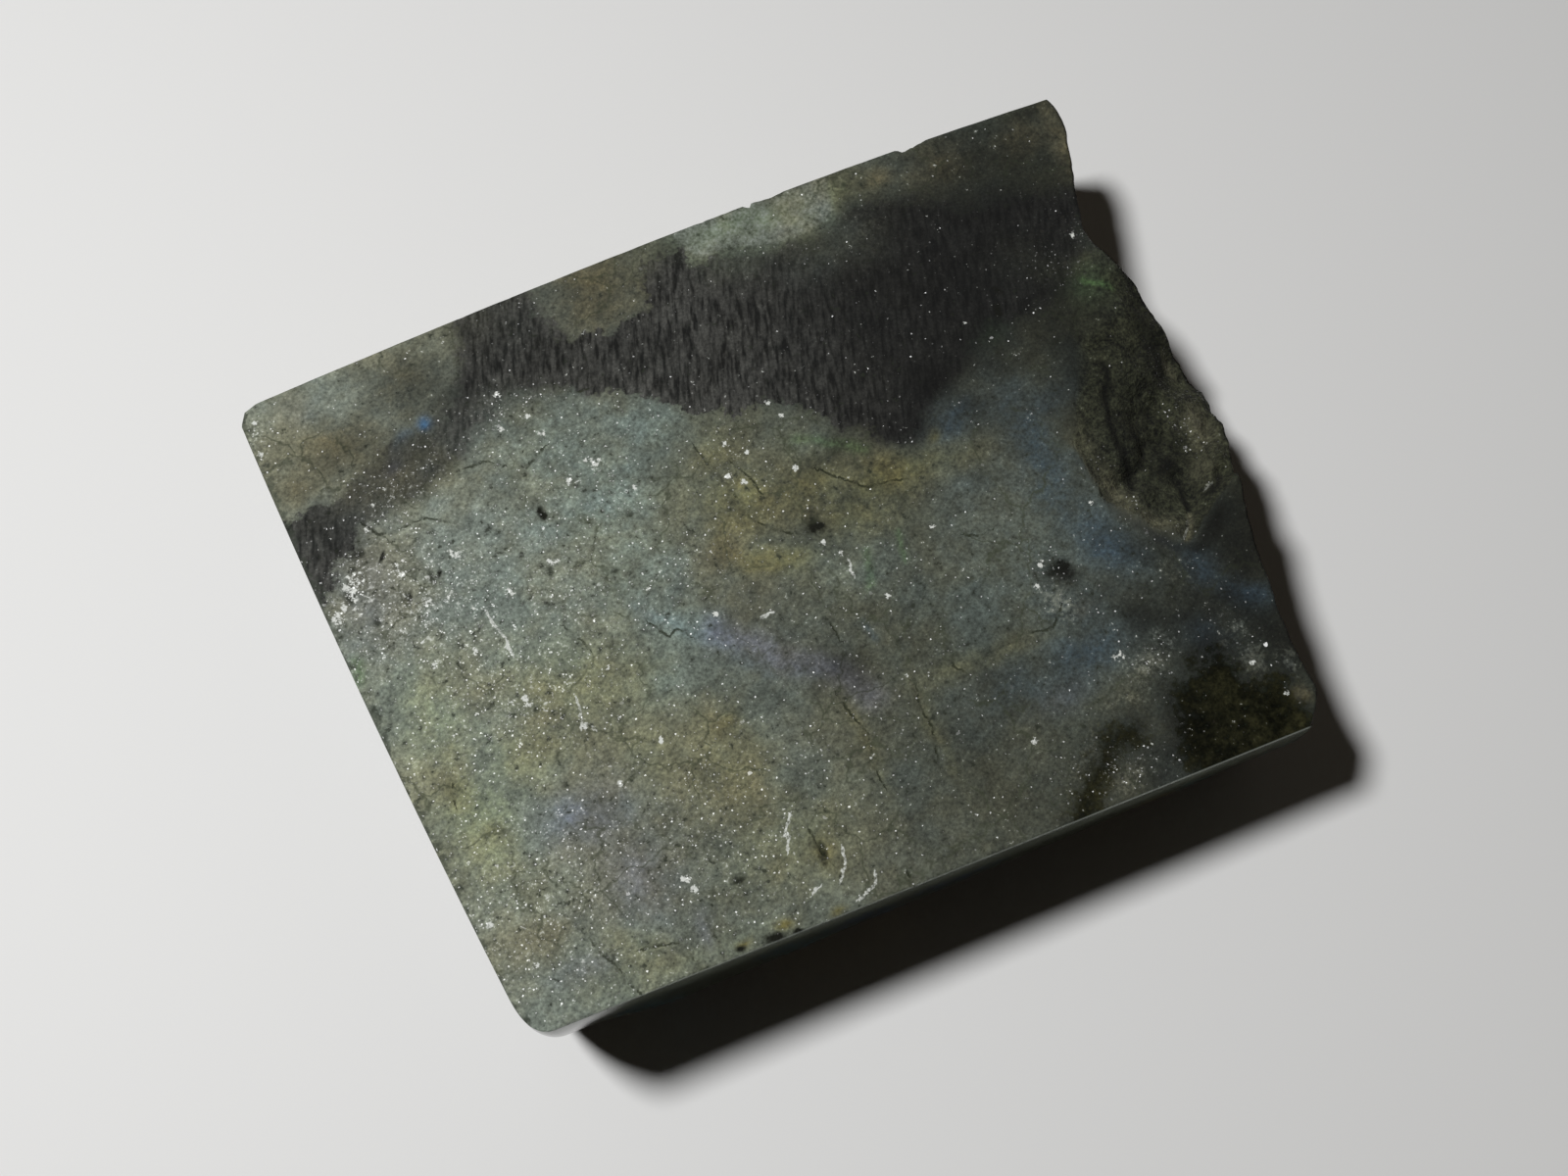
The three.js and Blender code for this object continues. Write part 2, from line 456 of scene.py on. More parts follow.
# %% [markdown]
# ## The walls and the underside
#
# The wall is a profile carried round the rim. On the polished flanks it first swells out, since a
# lap rounds every edge that it meets, and near the bottom it turns in along a quarter of an
# ellipse. On the front flank that turn grows towards the right until the whole wall leans in,
# and at the left front corner it does so too. The broken end was never ground, so it swells
# unevenly, and facets push it in and out. The saw left faint waves on the back.

# %% Sizes of the wall
WALL_ROWS = 36
CURL_FRONT = 4.6
CURL_BACK = 1.4
CURL_LEFT = 2.6
CURL_RIGHT = 2.2
CURL_HEIGHT_FRONT_LEFT = 0.45
CURL_HEIGHT_FRONT_RIGHT = 1.0
CURL_HEIGHT_ELSEWHERE = 0.4
BREAK_SWELL = 0.7
SHOULDER = 0.05  # how far the polished flank swells out below the rim
SHOULDER_DEPTH = 2.4
LEFT_CORNER = (21.0, 28.0)  # the corner's own turn grows between these distances to the left,
FRONT_CORNER = (14.0, 24.0)  # and between these towards the front
SWELL_ALONG = 0.55  # the break's swell turns by this many radians for each millimetre along it,
SWELL_UP = 5.0  # and by this many over its height
BREAK_FACETS = [(4.4, 0.55, 51), (1.4, 0.4, 61)]  # size, slope and seed
FACETS_FADE_TOP = 1.2  # the facets end this far below the rim,
FACETS_FADE_FOOT = 1.0  # and this far above the foot
SAW_WAVE = 0.04
SAW_WAVE_SIZE = 1.1
print("the foot turns in by", CURL_FRONT, "mm at the front and", CURL_LEFT, "mm at the left")

# %% Which way the rim faces, and how high each row lies
# Each point looks three points ahead and three back, so that a small nick doesn't turn it.
rim_place = face[rim]
ahead = np.roll(rim_place, -3, axis=0) - np.roll(rim_place, 3, axis=0)
outward = np.column_stack([ahead[:, 1], -ahead[:, 0]])
outward /= np.linalg.norm(outward, axis=1)[:, None]

row = np.arange(1, WALL_ROWS + 1)[:, None] / WALL_ROWS
row_share = 1 - (0.3 * row**1.5 + 0.7 * (0.5 - 0.5 * np.cos(row * np.pi)))  # closest at top and foot
x, y = rim_place[:, 0], rim_place[:, 1]
z = row_share * rim_place[:, 2]
height = z / (THICKNESS_MIDDLE - TAPER * x)
print("every sixth row lies at", row_share.ravel()[::6].round(2), "of the height")

# %% The turn-in


def curl(height, curl_height):
    """Share of the turn-in at a share of the height: a quarter ellipse, 0 above its start."""
    below = np.maximum(0, 1 - height / curl_height)
    return 1 - np.sqrt(1 - np.minimum(1, below) ** 2)


across = np.clip(x / (2 * HALF_LENGTH) + 0.5, 0, 1)
corner_share = ramp(-x, *LEFT_CORNER) * ramp(-y, *FRONT_CORNER)
front_curl_height = (1 - across) * CURL_HEIGHT_FRONT_LEFT + across * CURL_HEIGHT_FRONT_RIGHT
front_curl_height += corner_share * (1 - front_curl_height)
side_curl = curl(height, CURL_HEIGHT_ELSEWHERE + corner_share * (1 - CURL_HEIGHT_ELSEWHERE))
inset_x = np.where(x < 0, CURL_LEFT, CURL_RIGHT) * side_curl
inset_y = np.where(y < 0, CURL_FRONT * curl(height, front_curl_height), CURL_BACK * side_curl)
# The wall is broken where it is far to the right and faces right, and sawn where it faces back.
break_share = ramp(x, 0.8 * HALF_LENGTH, 0.9 * HALF_LENGTH) * ramp(outward[:, 0], 0.4, 0.7)
back_share = ramp(outward[:, 1], 0.5, 0.8)
polish_share = (1 - back_share) * (1 - break_share)
print(round(100 * polish_share.mean()), "% of the rim is polished")

# %% The swell, the facets and the saw's waves
wave = np.sin(SWELL_ALONG * y + SWELL_UP * height) - 1
bulge = BREAK_SWELL * break_share * wave * np.sin(np.pi * np.clip(height, 0, 1))
below_rim = np.clip((rim_place[:, 2] - z) / SHOULDER_DEPTH, 0, 1)
bulge = bulge + SHOULDER * polish_share * (1 - (1 - below_rim) ** 2) * ramp(height, 0, 0.6)
along_wall = np.stack([np.broadcast_to(y, z.shape), z], axis=2).reshape(-1, 2)
relief = sum(facets(along_wall, *facet) for facet in BREAK_FACETS).reshape(z.shape)
fade = ramp(rim_place[:, 2] - z, 0, FACETS_FADE_TOP) * ramp(z, 0, FACETS_FADE_FOOT)
bulge = bulge + (relief - 0.5) * break_share * fade
saw_wave = SAW_WAVE * noise(along_wall, SAW_WAVE_SIZE, 63).reshape(z.shape) * back_share
wall_x = x * (1 - inset_x / HALF_LENGTH) + (bulge + saw_wave) * outward[:, 0]
wall_y = y * (1 - inset_y / HALF_WIDTH) + (bulge + saw_wave) * outward[:, 1]
wall = np.stack([wall_x, wall_y, z], axis=2)
print("the wall has", wall.shape[0], "rows of", wall.shape[1], "points")

# %% The underside
SHRINK = [0.985, 0.95, 0.85, 0.65, 0.4]
foot = wall[-1]
middle = foot.mean(0)
under = np.stack([middle + (foot - middle) * s for s in SHRINK])
places = np.vstack([face, wall.reshape(-1, 3), under.reshape(-1, 3), middle[None]])
print("the underside is flat over", (foot.max(0) - foot.min(0))[:2].round(1), "mm")

# %% [markdown]
# ## One closed mesh
#
# The wall starts on the rim of the sawn face and shares its points, so there is no seam to
# close. Each quad runs anticlockwise seen from outside, which makes its face point outwards.
# The last ring of the underside is closed by a fan of triangles round one point.

# %% Faces
count = len(rim)
ring_total = WALL_ROWS + len(SHRINK)
rings = np.vstack([rim, len(face) + np.arange(ring_total * count).reshape(-1, count)])
pole = len(places) - 1
grid = face_index
face_quads = np.stack([grid[:-1, :-1], grid[1:, :-1], grid[1:, 1:], grid[:-1, 1:]], axis=-1).reshape(-1, 4)
upper, lower = rings[:-1], rings[1:]
ring_quads = np.stack([upper, lower, np.roll(lower, -1, 1), np.roll(upper, -1, 1)], axis=-1).reshape(-1, 4)
fan = np.stack([rings[-1], np.full(count, pole), np.roll(rings[-1], -1)], axis=-1)

mesh = bpy.data.meshes.new("labradorite_stone")
mesh.from_pydata(places * MM, [], face_quads.tolist() + ring_quads.tolist() + fan.tolist())
mesh.update()
stone = bpy.data.objects.new("labradorite_stone", mesh)
bpy.context.scene.collection.objects.link(stone)
mesh.polygons.foreach_set("use_smooth", np.ones(len(mesh.polygons), bool))
print(len(places), "points and", 2 * (len(face_quads) + len(ring_quads)) + count, "triangles")

# %% [markdown]
# ## A flat map for baking
#
# The looks are baked into textures when the part is exported. A UV map decides how much of a
# texture each surface gets. The sawn face carries the finest detail, so it takes the largest
# area, as seen from above. The wall is unrolled into two strips, and the underside, which is
# plain polish, goes into a corner at a smaller scale.

# %% UV map
FACE_SCALE = 1 / 90  # share of the texture for each millimetre
FACE_CORNER = (36.0, 29.0)  # millimetres from the texture's corner to the stone's middle
UNDER_SCALE = 1 / 290
UNDER_CORNER = (0.9, 0.13)
STRIP_MARGIN = 0.01
STRIP_LENGTH = 0.98
STRIP_HEIGHT = 0.14
STRIP_STARTS = (0.67, 0.83)

face_uv = (plan + FACE_CORNER) * FACE_SCALE
under_uv = places[:, 1::-1] * UNDER_SCALE + UNDER_CORNER
quad_column, quad_row = np.meshgrid(np.arange(count), np.arange(WALL_ROWS))
half = count // 2
strip_at = (quad_column % half)[..., None] + np.array([0, 0, 1, 1])
strip_down = (quad_row[..., None] + np.array([0, 1, 1, 0])) / WALL_ROWS
strip_u = STRIP_MARGIN + STRIP_LENGTH * strip_at / half
strip_v = np.array(STRIP_STARTS)[quad_column // half][..., None] + STRIP_HEIGHT * (1 - strip_down)
wall_uv = np.stack([strip_u, strip_v], axis=-1).reshape(-1, 2)
loop_uv = np.vstack(
    [
        face_uv[face_quads.ravel()],
        wall_uv,
        under_uv[ring_quads[WALL_ROWS * count :].ravel()],
        under_uv[fan.ravel()],
    ]
)
mesh.uv_layers.new(name="OFBake").data.foreach_set("uv", loop_uv.ravel().astype(np.float32))
print("UV map from", loop_uv.min(0).round(3), "to", loop_uv.max(0).round(3))

# %% [markdown]
# ## Where each colour lies
#
# The colours of the stone are zones that grew in it, so they run down through the slab with a
# slight lean. Each zone is given where it meets the sawn face, and a point further down looks up
# its colour along the lean. The mesh only carries how much of each zone is at a point, or how
# far a point is from an edge. The shader draws the colours, and makes the edges ragged at a
# finer scale than the mesh could hold. A painted texture would do as well, but could not be
# read or changed here.

# %% Coordinates that follow the zones
LEAN = np.array([0.25, -0.3])  # sideways millimetres for each millimetre down
DRIFTS = [(0.4, 4.0), (0.25, 1.3)]  # how far a zone's edge strays, and over which distance
below = np.maximum(0, THICKNESS_MIDDLE - TAPER * places[:, 0] - places[:, 2])
below[: len(face)] = 0
zone_plan = places[:, :2] + below[:, None] * LEAN
drift = [
    sum(reach * noise(zone_plan, size, seed + k) for k, (reach, size) in enumerate(DRIFTS))
    for seed in (71, 73)
]
ragged = zone_plan + np.column_stack(drift)
print("the edges of the zones stray by up to", round(np.abs(drift).max(), 2), "mm")


def ovals(listed):
    """How much of a zone is at each point: the strongest of several soft ovals.

    An oval is (x, y, half length, half width, turn in degrees, strength), and it fades like a
    bell curve, to about a third at its half length and half width."""
    amount = np.zeros(len(places))
    for x, y, half_length, half_width, turn, strength in listed:
        cosine, sine = math.cos(math.radians(turn)), math.sin(math.radians(turn))
        gap = ragged - (x, y)
        across = (cosine * gap[:, 0] + sine * gap[:, 1]) / half_length
        up = (cosine * gap[:, 1] - sine * gap[:, 0]) / half_width
        amount = np.maximum(amount, strength * np.exp(-(across**2) - up**2))
    return amount


def seam(line, half_width, strength=1.0):
    """A soft-edged line through several places."""
    return strength * np.exp(-((away(ragged, line) / half_width) ** 2))


def report(*names):
    """Prints how much of the sawn face each zone covers with an amount above a third."""
    for name in names:
        print(f"{name} covers {100 * np.mean(zones[name][: len(face)] > 1 / 3):.1f} % of the sawn face")


# %% Outlines of the black band and of the patches beside it
BAND = [
    (-36.5, 6.0), (-34.3, 8.0), (-33.3, 9.2), (-32.4, 10.4), (-31.3, 11.3), (-30.3, 12.1),
    (-29.5, 13.1), (-27.5, 13.1), (-25.7, 13.6), (-23.7, 14.4), (-22.0, 15.0), (-20.6, 16.0),
    (-19.0, 17.2), (-17.4, 18.0), (-15.0, 18.6), (-12.9, 18.6), (-11.8, 18.0), (-10.4, 17.3),
    (-9.1, 17.1), (-6.1, 14.9), (-4.9, 14.1), (-3.7, 12.6), (-1.6, 11.7), (-1.1, 10.9),
    (0.4, 11.6), (2.1, 11.2), (3.6, 10.5), (4.3, 9.3), (5.5, 8.0), (6.2, 6.7), (7.8, 5.5),
    (8.8, 4.4), (10.9, 3.5), (12.4, 5.0), (15.1, 7.0), (17.2, 8.2), (19.1, 9.0), (21.2, 9.8),
    (23.9, 10.1), (27.1, 11.3), (29.1, 12.3), (31.2, 16.2), (37.0, 18.0), (28.3, 20.6),
    (25.4, 21.4), (22.5, 22.1), (20.0, 23.5), (17.1, 24.3), (15.2, 25.1), (13.8, 24.1),
    (12.2, 23.3), (8.9, 23.4), (6.0, 23.5), (3.4, 24.0), (2.0, 23.7), (1.1, 24.4), (0.7, 26.2),
    (-2.9, 25.6), (-3.9, 22.0), (-7.6, 21.5), (-9.8, 21.9), (-11.0, 23.6), (-11.6, 26.0),
    (-11.8, 29.0), (-17.9, 29.0), (-18.2, 25.0), (-18.4, 22.6), (-19.4, 20.9), (-20.8, 19.2),
    (-22.6, 18.4), (-25.9, 18.2), (-27.9, 16.8), (-29.9, 15.4), (-32.0, 15.6), (-36.5, 14.8),
]  # fmt: skip
LIGHT_PATCH = [
    (0.5, 28.6), (0.4, 26.2), (1.0, 25.0), (2.5, 24.0), (4.4, 24.1), (6.2, 24.0), (8.6, 23.7),
    (10.2, 23.8), (11.9, 24.2), (13.6, 25.0), (14.5, 28.6),
]  # fmt: skip
OLIVE_CORNER = [
    (18.4, -29.0), (18.8, -25.5), (19.8, -23.2), (20.3, -20.9), (22.4, -20.2), (24.6, -19.6),
    (25.6, -20.6), (25.8, -22.4), (26.6, -23.3), (28.4, -23.6), (28.2, -25.6), (28.6, -27.2),
    (27.4, -30.0),
]  # fmt: skip
OLIVE_PATCH = [
    (12.2, -23.2), (13.6, -22.3), (16.9, -22.4), (16.6, -23.5), (14.8, -23.9), (13.8, -24.6),
    (12.9, -25.2), (12.0, -27.0), (11.6, -29.0), (7.8, -29.0), (9.0, -26.6), (10.9, -25.0),
]  # fmt: skip
print("the black band's outline has", len(BAND), "places")

# %% [markdown]
# ## Frost and shade
#
# The blade crushed the left of the face most. The frost is thickest there, and thins out towards the right
# in three slopes, and a few ovals put some of it back. Shade darkens whatever colour lies there: near the
# band and in the mossy corner the stone is clear, and sends little light back, and round the chip it is
# partly clear stone and partly painted shade. Both change slowly and have no edges, so soft ovals describe
# them well.

# %% Frost and shade
zones = {}
zones["frost"] = np.clip(
    1
    - 0.48 * ramp(ragged[:, 0], -29, -14)
    - 0.26 * ramp(ragged[:, 0], -9, 5)
    - 0.22 * ramp(ragged[:, 0], 17, 30)
    + ovals(
        [
            (12.0, -4.5, 7.0, 5.0, 0, 0.12),
            (-18.0, 4.0, 7.0, 9.0, 0, 0.4),
            (-16.0, -9.0, 4.0, 6.0, 0, 0.22),
            (-28.0, -13.0, 4.0, 5.0, 0, 0.3),
            (-30.0, 0.0, 4.0, 6.0, 0, 0.2),
        ]
    ),
    0,
    1,
)
# Darker where the stone is clear; round the chip it is partly painted shade.
zones["shade"] = ovals(
    [
        (25.0, 22.5, 8.0, 6.0, 0, 0.72),
        (25.5, 7.5, 4.5, 8.0, 0, 0.75),
        (19.5, 8.4, 7.0, 3.2, 10, 0.8),
        (11.5, 5.0, 4.0, 1.3, 0, 0.6),
        (30.5, -13.0, 3.5, 5.0, -20, 0.9),
        (23.6, -17.0, 3.4, 2.4, 10, 0.85),
        (24.0, -19.0, 3.0, 2.0, 10, 0.85),
        (29.0, -20.0, 2.6, 3.4, 0, 0.9),
        (-25.5, 17.3, 6.0, 2.4, 25, 0.6),
        (-28.6, 18.6, 6.0, 3.0, 10, 0.5),
        (-22.4, 22.4, 4.0, 3.0, 0, 0.65),
        (-24.7, 14.2, 2.6, 1.3, 20, 0.5),
        (-20.5, 20.5, 4.0, 1.6, 20, 0.75),
        (-31.0, 13.0, 2.5, 3.0, 0, 0.6),
        (4.2, 5.0, 4.0, 1.4, 35, 0.5),
        (15.0, 8.0, 3.0, 2.6, 0, 0.9),
        (19.5, -23.5, 1.8, 3.5, 0, 0.9),
        (21.5, -18.5, 3.0, 1.4, 0, 0.6),
        (23.5, -10.5, 2.6, 2.0, 0, 0.6),
        (9.0, 28.2, 9.0, 0.8, 0, 0.6),
        (6.5, 1.8, 5.0, 1.6, 12, 0.4),
        (16.5, 4.8, 2.6, 2.6, 0, 0.7),
        (25.2, -16.0, 3.0, 3.4, 0, 0.8),
        (18.0, -25.4, 3.5, 2.6, 0, 0.8),
        (30.5, -15.5, 2.0, 3.0, 0, 0.6),
        (20.9, -15.6, 1.8, 2.2, -30, 0.95),
        (22.0, -13.6, 3.0, 1.0, 0, 0.45),
        (7.0, -19.5, 7.0, 5.0, 0, 0.22),
        (16.5, -26.6, 2.4, 1.6, 0, 0.7),
        (17.5, -22.5, 2.6, 1.6, 0, 0.5),
        (19.0, -12.5, 3.0, 2.0, 0, 0.35),
        (28.0, -16.6, 2.4, 3.6, 15, 0.8),
        (-1.0, -10.8, 1.8, 3.0, 35, 0.8),
        (-4.0, -8.0, 1.2, 3.0, 50, 0.2),
        (22.0, 16.0, 10.0, 6.0, 0, 0.6),
        (-15.0, 22.5, 3.0, 4.0, 0, 0.3),
        (16.6, -10.0, 1.7, 0.9, -30, 0.85),
        (-7.4, 25.0, 5.0, 4.4, 0, 0.4),
        (-0.5, 26.4, 2.0, 0.8, 0, 0.6),
        (32.5, 6.0, 1.5, 6.0, 0, 0.5),
        (11.0, -9.5, 5.0, 3.0, 0, 0.14),
        (10.8, 2.6, 3.6, 1.6, 0, 0.25),
    ]
)
report("frost", "shade")

# %% [markdown]
# ## Tinted feldspar
#
# Below the frost the feldspar changes slowly in colour: teal beside the band, yellow-green at the
# left, and olive in the middle, where chlorite has grown in it. Iron has stained it tan in places
# and along one seam. These tints have no edges either, so they are ovals too.

# %% Teal, yellow, olive and tan
zones["teal"] = ovals(
    [
        (-14.5, 12.5, 4.5, 3.5, 0, 0.6),
        (-12.5, 8.0, 6.0, 4.5, 0, 0.85),
        (-10.8, -3.0, 3.0, 1.6, -50, 0.7),
        (-12.5, 2.5, 4.5, 4.0, 0, 0.8),
        (-20.0, 4.0, 7.0, 5.0, 0, 0.4),
        (-14.0, -6.3, 2.6, 2.4, 0, 0.6),
        (-27.0, -17.5, 3.5, 2.0, -20, 0.4),
        (-7.0, 12.5, 2.6, 2.0, -30, 0.7),
        (14.0, -8.0, 7.0, 5.0, 0, 0.3),
        (1.5, -3.6, 3.6, 2.4, 0, 0.3),
        (3.0, 7.2, 2.0, 1.4, -40, 0.4),
    ]
)
zones["yellow"] = ovals(
    [
        (-29.5, -3.5, 3.2, 5.5, 10, 0.65),
        (-29.2, -11.5, 3.2, 4.5, 0, 0.95),
        (-20.0, -4.4, 6.0, 4.0, -20, 0.7),
        (-25.0, -8.5, 4.5, 3.5, 0, 0.7),
        (-12.0, -14.5, 3.0, 5.0, 0, 0.5),
        (-10.5, -21.0, 4.5, 3.5, 0, 0.5),
        (-25.0, -24.0, 4.0, 2.0, 0, 0.5),
        (-16.0, -11.0, 3.0, 3.0, 0, 0.4),
        (-2.4, -0.9, 2.4, 1.0, -15, 0.4),
        (-19.0, -26.0, 9.0, 1.2, 0, 0.3),
        (7.5, 25.9, 7.0, 1.8, 0, 1.0),
    ]
)
zones["olive"] = ovals(
    [
        (-3.1, 4.4, 3.2, 3.0, -30, 0.8),
        (2.0, 3.3, 4.0, 2.4, -20, 0.55),
        (8.6, 1.7, 5.0, 1.7, 0, 0.85),
        (-3.4, 8.4, 2.0, 2.8, -20, 0.5),
        (4.4, 0.2, 4.0, 2.2, -20, 0.55),
        (-2.4, -0.9, 2.8, 1.2, -15, 0.7),
        (13.5, 1.2, 2.0, 1.2, 0, 0.4),
        (8.5, -13.8, 5.0, 0.7, 0, 0.4),
        (-23.5, -24.4, 4.0, 1.8, -5, 0.4),
        (-2.1, -17.2, 0.6, 4.0, 0, 0.3),
        (2.9, -17.5, 0.6, 4.5, 0, 0.3),
        (-7.6, -22.3, 1.0, 1.5, 0, 0.7),
        (-10.4, -11.2, 1.2, 0.9, 0, 0.55),
        (-30.3, -8.8, 1.2, 2.0, 0, 0.4),
    ]
)
zones["tan"] = np.maximum.reduce(
    [
        ovals(
            [
                (-5.8, 0.4, 2.0, 1.3, -30, 0.5),
                (-10.6, -16.5, 1.2, 4.0, 0, 0.4),
                (-13.0, -17.0, 3.0, 7.0, 0, 0.4),
                (-21.0, -5.0, 5.0, 5.0, 0, 0.25),
                (-5.0, -3.0, 3.0, 2.0, 0, 0.25),
                (-12.0, -21.8, 4.0, 3.0, 0, 0.35),
                (-27.2, -20.8, 3.5, 1.2, 5, 0.4),
                (-27.0, 15.5, 4.5, 1.6, 20, 0.6),
                (-22.5, -6.0, 2.2, 1.0, 0, 0.45),
                (-23.5, 22.4, 4.0, 3.0, 0, 0.6),
                (-7.2, 25.2, 5.0, 4.6, 0, 0.6),
                (-29.0, 20.0, 4.5, 3.0, 0, 0.6),
                (-32.8, 17.4, 1.6, 1.6, 0, 0.55),
                (18.2, 26.2, 1.6, 1.2, 0, 0.7),
                (23.0, 25.4, 3.4, 1.8, 0, 0.35),
                (33.2, 23.0, 1.2, 4.4, 0, 0.65),
                (30.6, 25.4, 2.4, 1.6, 0, 0.4),
                (29.2, 13.2, 2.6, 1.0, 0, 0.4),
                (16.6, -12.9, 0.8, 0.6, 0, 0.7),
                (28.8, -25.4, 0.7, 0.5, 0, 1.0),
            ]
        ),
        seam([(-11.0, -9.0), (-11.5, -13.1), (-11.4, -16.2), (-11.0, -20.0)], 0.7, 0.3),
    ]
)
report("teal", "yellow", "olive", "tan")

# %% [markdown]
# ## Dull flash and green seams
#
# A sawn face still shows a little of the flash, as dull lavender and blue patches, and as a seam
# where two grains meet. Green is epidote in hairline seams. A seam is a soft-edged line, which
# bends with the stone better than a row of ovals would.

# %% Lavender, blue and green
zones["lavender"] = np.maximum.reduce(
    [
        ovals(
            [
                (-22.4, -13.8, 3.0, 2.8, -20, 0.75),
                (-20.8, -18.6, 2.4, 3.4, 10, 0.65),
                (-26.0, -23.8, 2.6, 1.2, 0, 0.5),
                (-31.0, 8.0, 3.0, 5.0, 0, 0.5),
                (-17.8, -24.6, 0.7, 1.6, 0, 0.5),
                (-26.0, 16.7, 0.9, 0.5, 60, 0.8),
                (12.5, -18.6, 2.0, 1.0, 0, 0.3),
                (8.6, 24.8, 1.4, 0.6, 0, 0.4),
            ]
        ),
        seam([(-8.6, -4.8), (-6.6, -6.4), (-4.8, -8.0), (-1.1, -11.3), (0.0, -13.4)], 1.1, 0.9),
    ]
)
zones["blue"] = np.maximum.reduce(
    [
        ovals(
            [
                (19.3, 0.0, 1.8, 5.0, 0, 0.8),
                (18.6, -4.5, 2.6, 3.5, 0, 0.7),
                (20.6, -9.0, 2.6, 3.6, 30, 0.75),
                (22.6, -4.8, 0.8, 3.4, 15, 0.6),
                (16.0, -12.6, 4.0, 2.4, 0, 0.45),
                (15.5, -16.2, 3.6, 1.8, 0, 0.65),
                (26.6, -13.4, 1.3, 1.8, 0, 0.9),
                (9.0, -16.4, 3.0, 2.0, 0, 0.45),
                (28.6, -16.2, 2.6, 1.1, -35, 0.8),
                (24.4, -18.4, 1.4, 1.4, 0, 0.6),
                (-23.8, 15.4, 1.0, 0.8, 0, 0.5),
                (12.5, 25.8, 0.9, 1.2, 0, 0.5),
                (11.4, 20.0, 1.8, 1.2, 0, 0.25),
                (20.8, 3.2, 3.2, 1.4, 0, 0.5),
                (15.0, -6.0, 6.0, 6.0, 0, 0.36),
                (14.5, 4.2, 3.5, 2.0, 0, 0.6),
            ]
        ),
        seam([(1.6, -8.0), (1.9, -9.4)], 0.3, 0.4),
    ]
)
zones["green"] = np.maximum.reduce(
    [
        seam([(2.7, 7.8), (4.4, 6.5), (6.1, 5.2), (7.2, 4.3)], 0.45, 0.4),
        seam([(6.7, -2.4), (6.4, -4.6)], 0.25, 0.4),
        seam([(3.6, -2.8), (3.0, -5.5)], 0.3, 0.3),
        seam([(29.2, 11.9), (30.1, 11.2), (31.2, 10.5)], 0.4, 1.0),
        ovals([(29.0, 12.0, 2.6, 1.8, -30, 0.3)]),
        seam([(-33.6, 3.0), (-33.7, 1.4)], 0.5, 0.5),
        ovals([(20.0, 10.4, 1.6, 1.2, 0, 0.4), (5.6, 26.4, 3.0, 0.8, 0, 0.35)]),
    ]
)
report("lavender", "blue", "green")

# %% [markdown]
# ## Pale, rusty and black marks
#
# Milky feldspar lies bare in a patch behind the band, and in small spots, mostly at the front
# right. Rust has gathered along one seam and at the front rim. Black marks are grains of iron
# oxide, and holes that lie in their own shadow. Ovals are enough for all but the patch, because
# the shader makes their edges ragged.

# %% Pale, ochre and black
zones["pale"] = np.maximum.reduce(
    [
        0.5 * ramp(inside(ragged, LIGHT_PATCH), -0.2, 0.5),
        ovals(
            [
                (-31.2, 23.8, 2.0, 2.0, 0, 0.7),
                (-29.8, 18.4, 1.6, 0.8, 0, 0.35),
                (19.6, -18.9, 2.0, 1.1, 20, 0.42),
                (21.6, -17.9, 0.6, 1.0, 0, 0.4),
                (15.3, -11.8, 1.2, 1.6, 20, 0.5),
                (17.0, -20.6, 3.4, 1.2, 20, 0.2),
                (12.0, -23.2, 2.6, 0.6, 40, 0.45),
                (14.4, -25.8, 1.6, 1.0, 0, 0.45),
                (24.8, -13.4, 1.2, 1.8, 0, 0.15),
                (26.6, -21.6, 0.9, 1.8, 0, 0.5),
                (26.8, -18.6, 0.9, 0.6, 0, 0.45),
                (25.2, -19.3, 0.7, 0.3, 0, 0.5),
                (29.0, -22.6, 0.7, 1.6, 0, 0.4),
                (15.6, 23.0, 2.4, 1.6, 0, 0.3),
            ]
        ),
    ]
)
zones["ochre"] = np.maximum(
    seam([(-5.4, 3.2), (-5.8, 1.2), (-4.6, -0.6), (-2.6, -1.7), (-0.8, -1.3)], 0.6, 0.25),
    ovals(
        [
            (-15.5, -26.4, 0.5, 0.3, 0, 0.9),
            (-12.5, -26.1, 0.8, 0.3, 0, 1.0),
            (-8.5, -26.5, 0.6, 0.3, 0, 0.8),
            (12.3, 3.8, 0.7, 0.5, 40, 0.6),
        ]
    ),
)
zones["black"] = ovals(
    [
        (1.0, 0.4, 1.2, 0.7, -10, 1.0),
        (-13.5, -26.7, 1.0, 0.4, 0, 1.0),
        (-15.8, -26.7, 0.5, 0.35, 0, 0.9),
        (-11.8, -26.8, 0.6, 0.35, 0, 1.0),
        (16.9, -9.9, 1.2, 0.8, -20, 0.8),
        (-28.9, 10.1, 0.8, 0.3, 50, 0.9),
        (-26.0, 7.2, 0.3, 0.9, -25, 0.8),
        (-28.4, 6.3, 0.3, 0.8, -30, 0.8),
        (-31.0, 10.9, 0.7, 0.5, 0, 0.7),
        (-17.1, 8.9, 0.35, 0.9, 15, 0.9),
        (21.8, 11.4, 0.5, 0.7, -10, 0.9),
        (22.4, 13.2, 0.5, 0.7, 30, 0.7),
        (23.5, 24.2, 0.3, 1.0, 0, 0.6),
        (-26.6, 16.8, 0.4, 0.8, 0, 0.6),
        (-26.1, 14.4, 0.5, 0.3, 0, 0.6),
        (-7.8, -22.8, 0.5, 0.8, 0, 0.7),
        (-23.9, -23.7, 0.3, 0.4, 0, 0.7),
        (-14.1, -22.1, 0.6, 0.3, -30, 0.7),
        (-10.0, -10.5, 0.6, 0.25, -20, 0.6),
        (-18.0, -14.9, 0.4, 0.2, 0, 0.6),
        (20.2, -15.2, 0.3, 0.8, 0, 0.5),
    ]
)
report("pale", "ochre", "black")
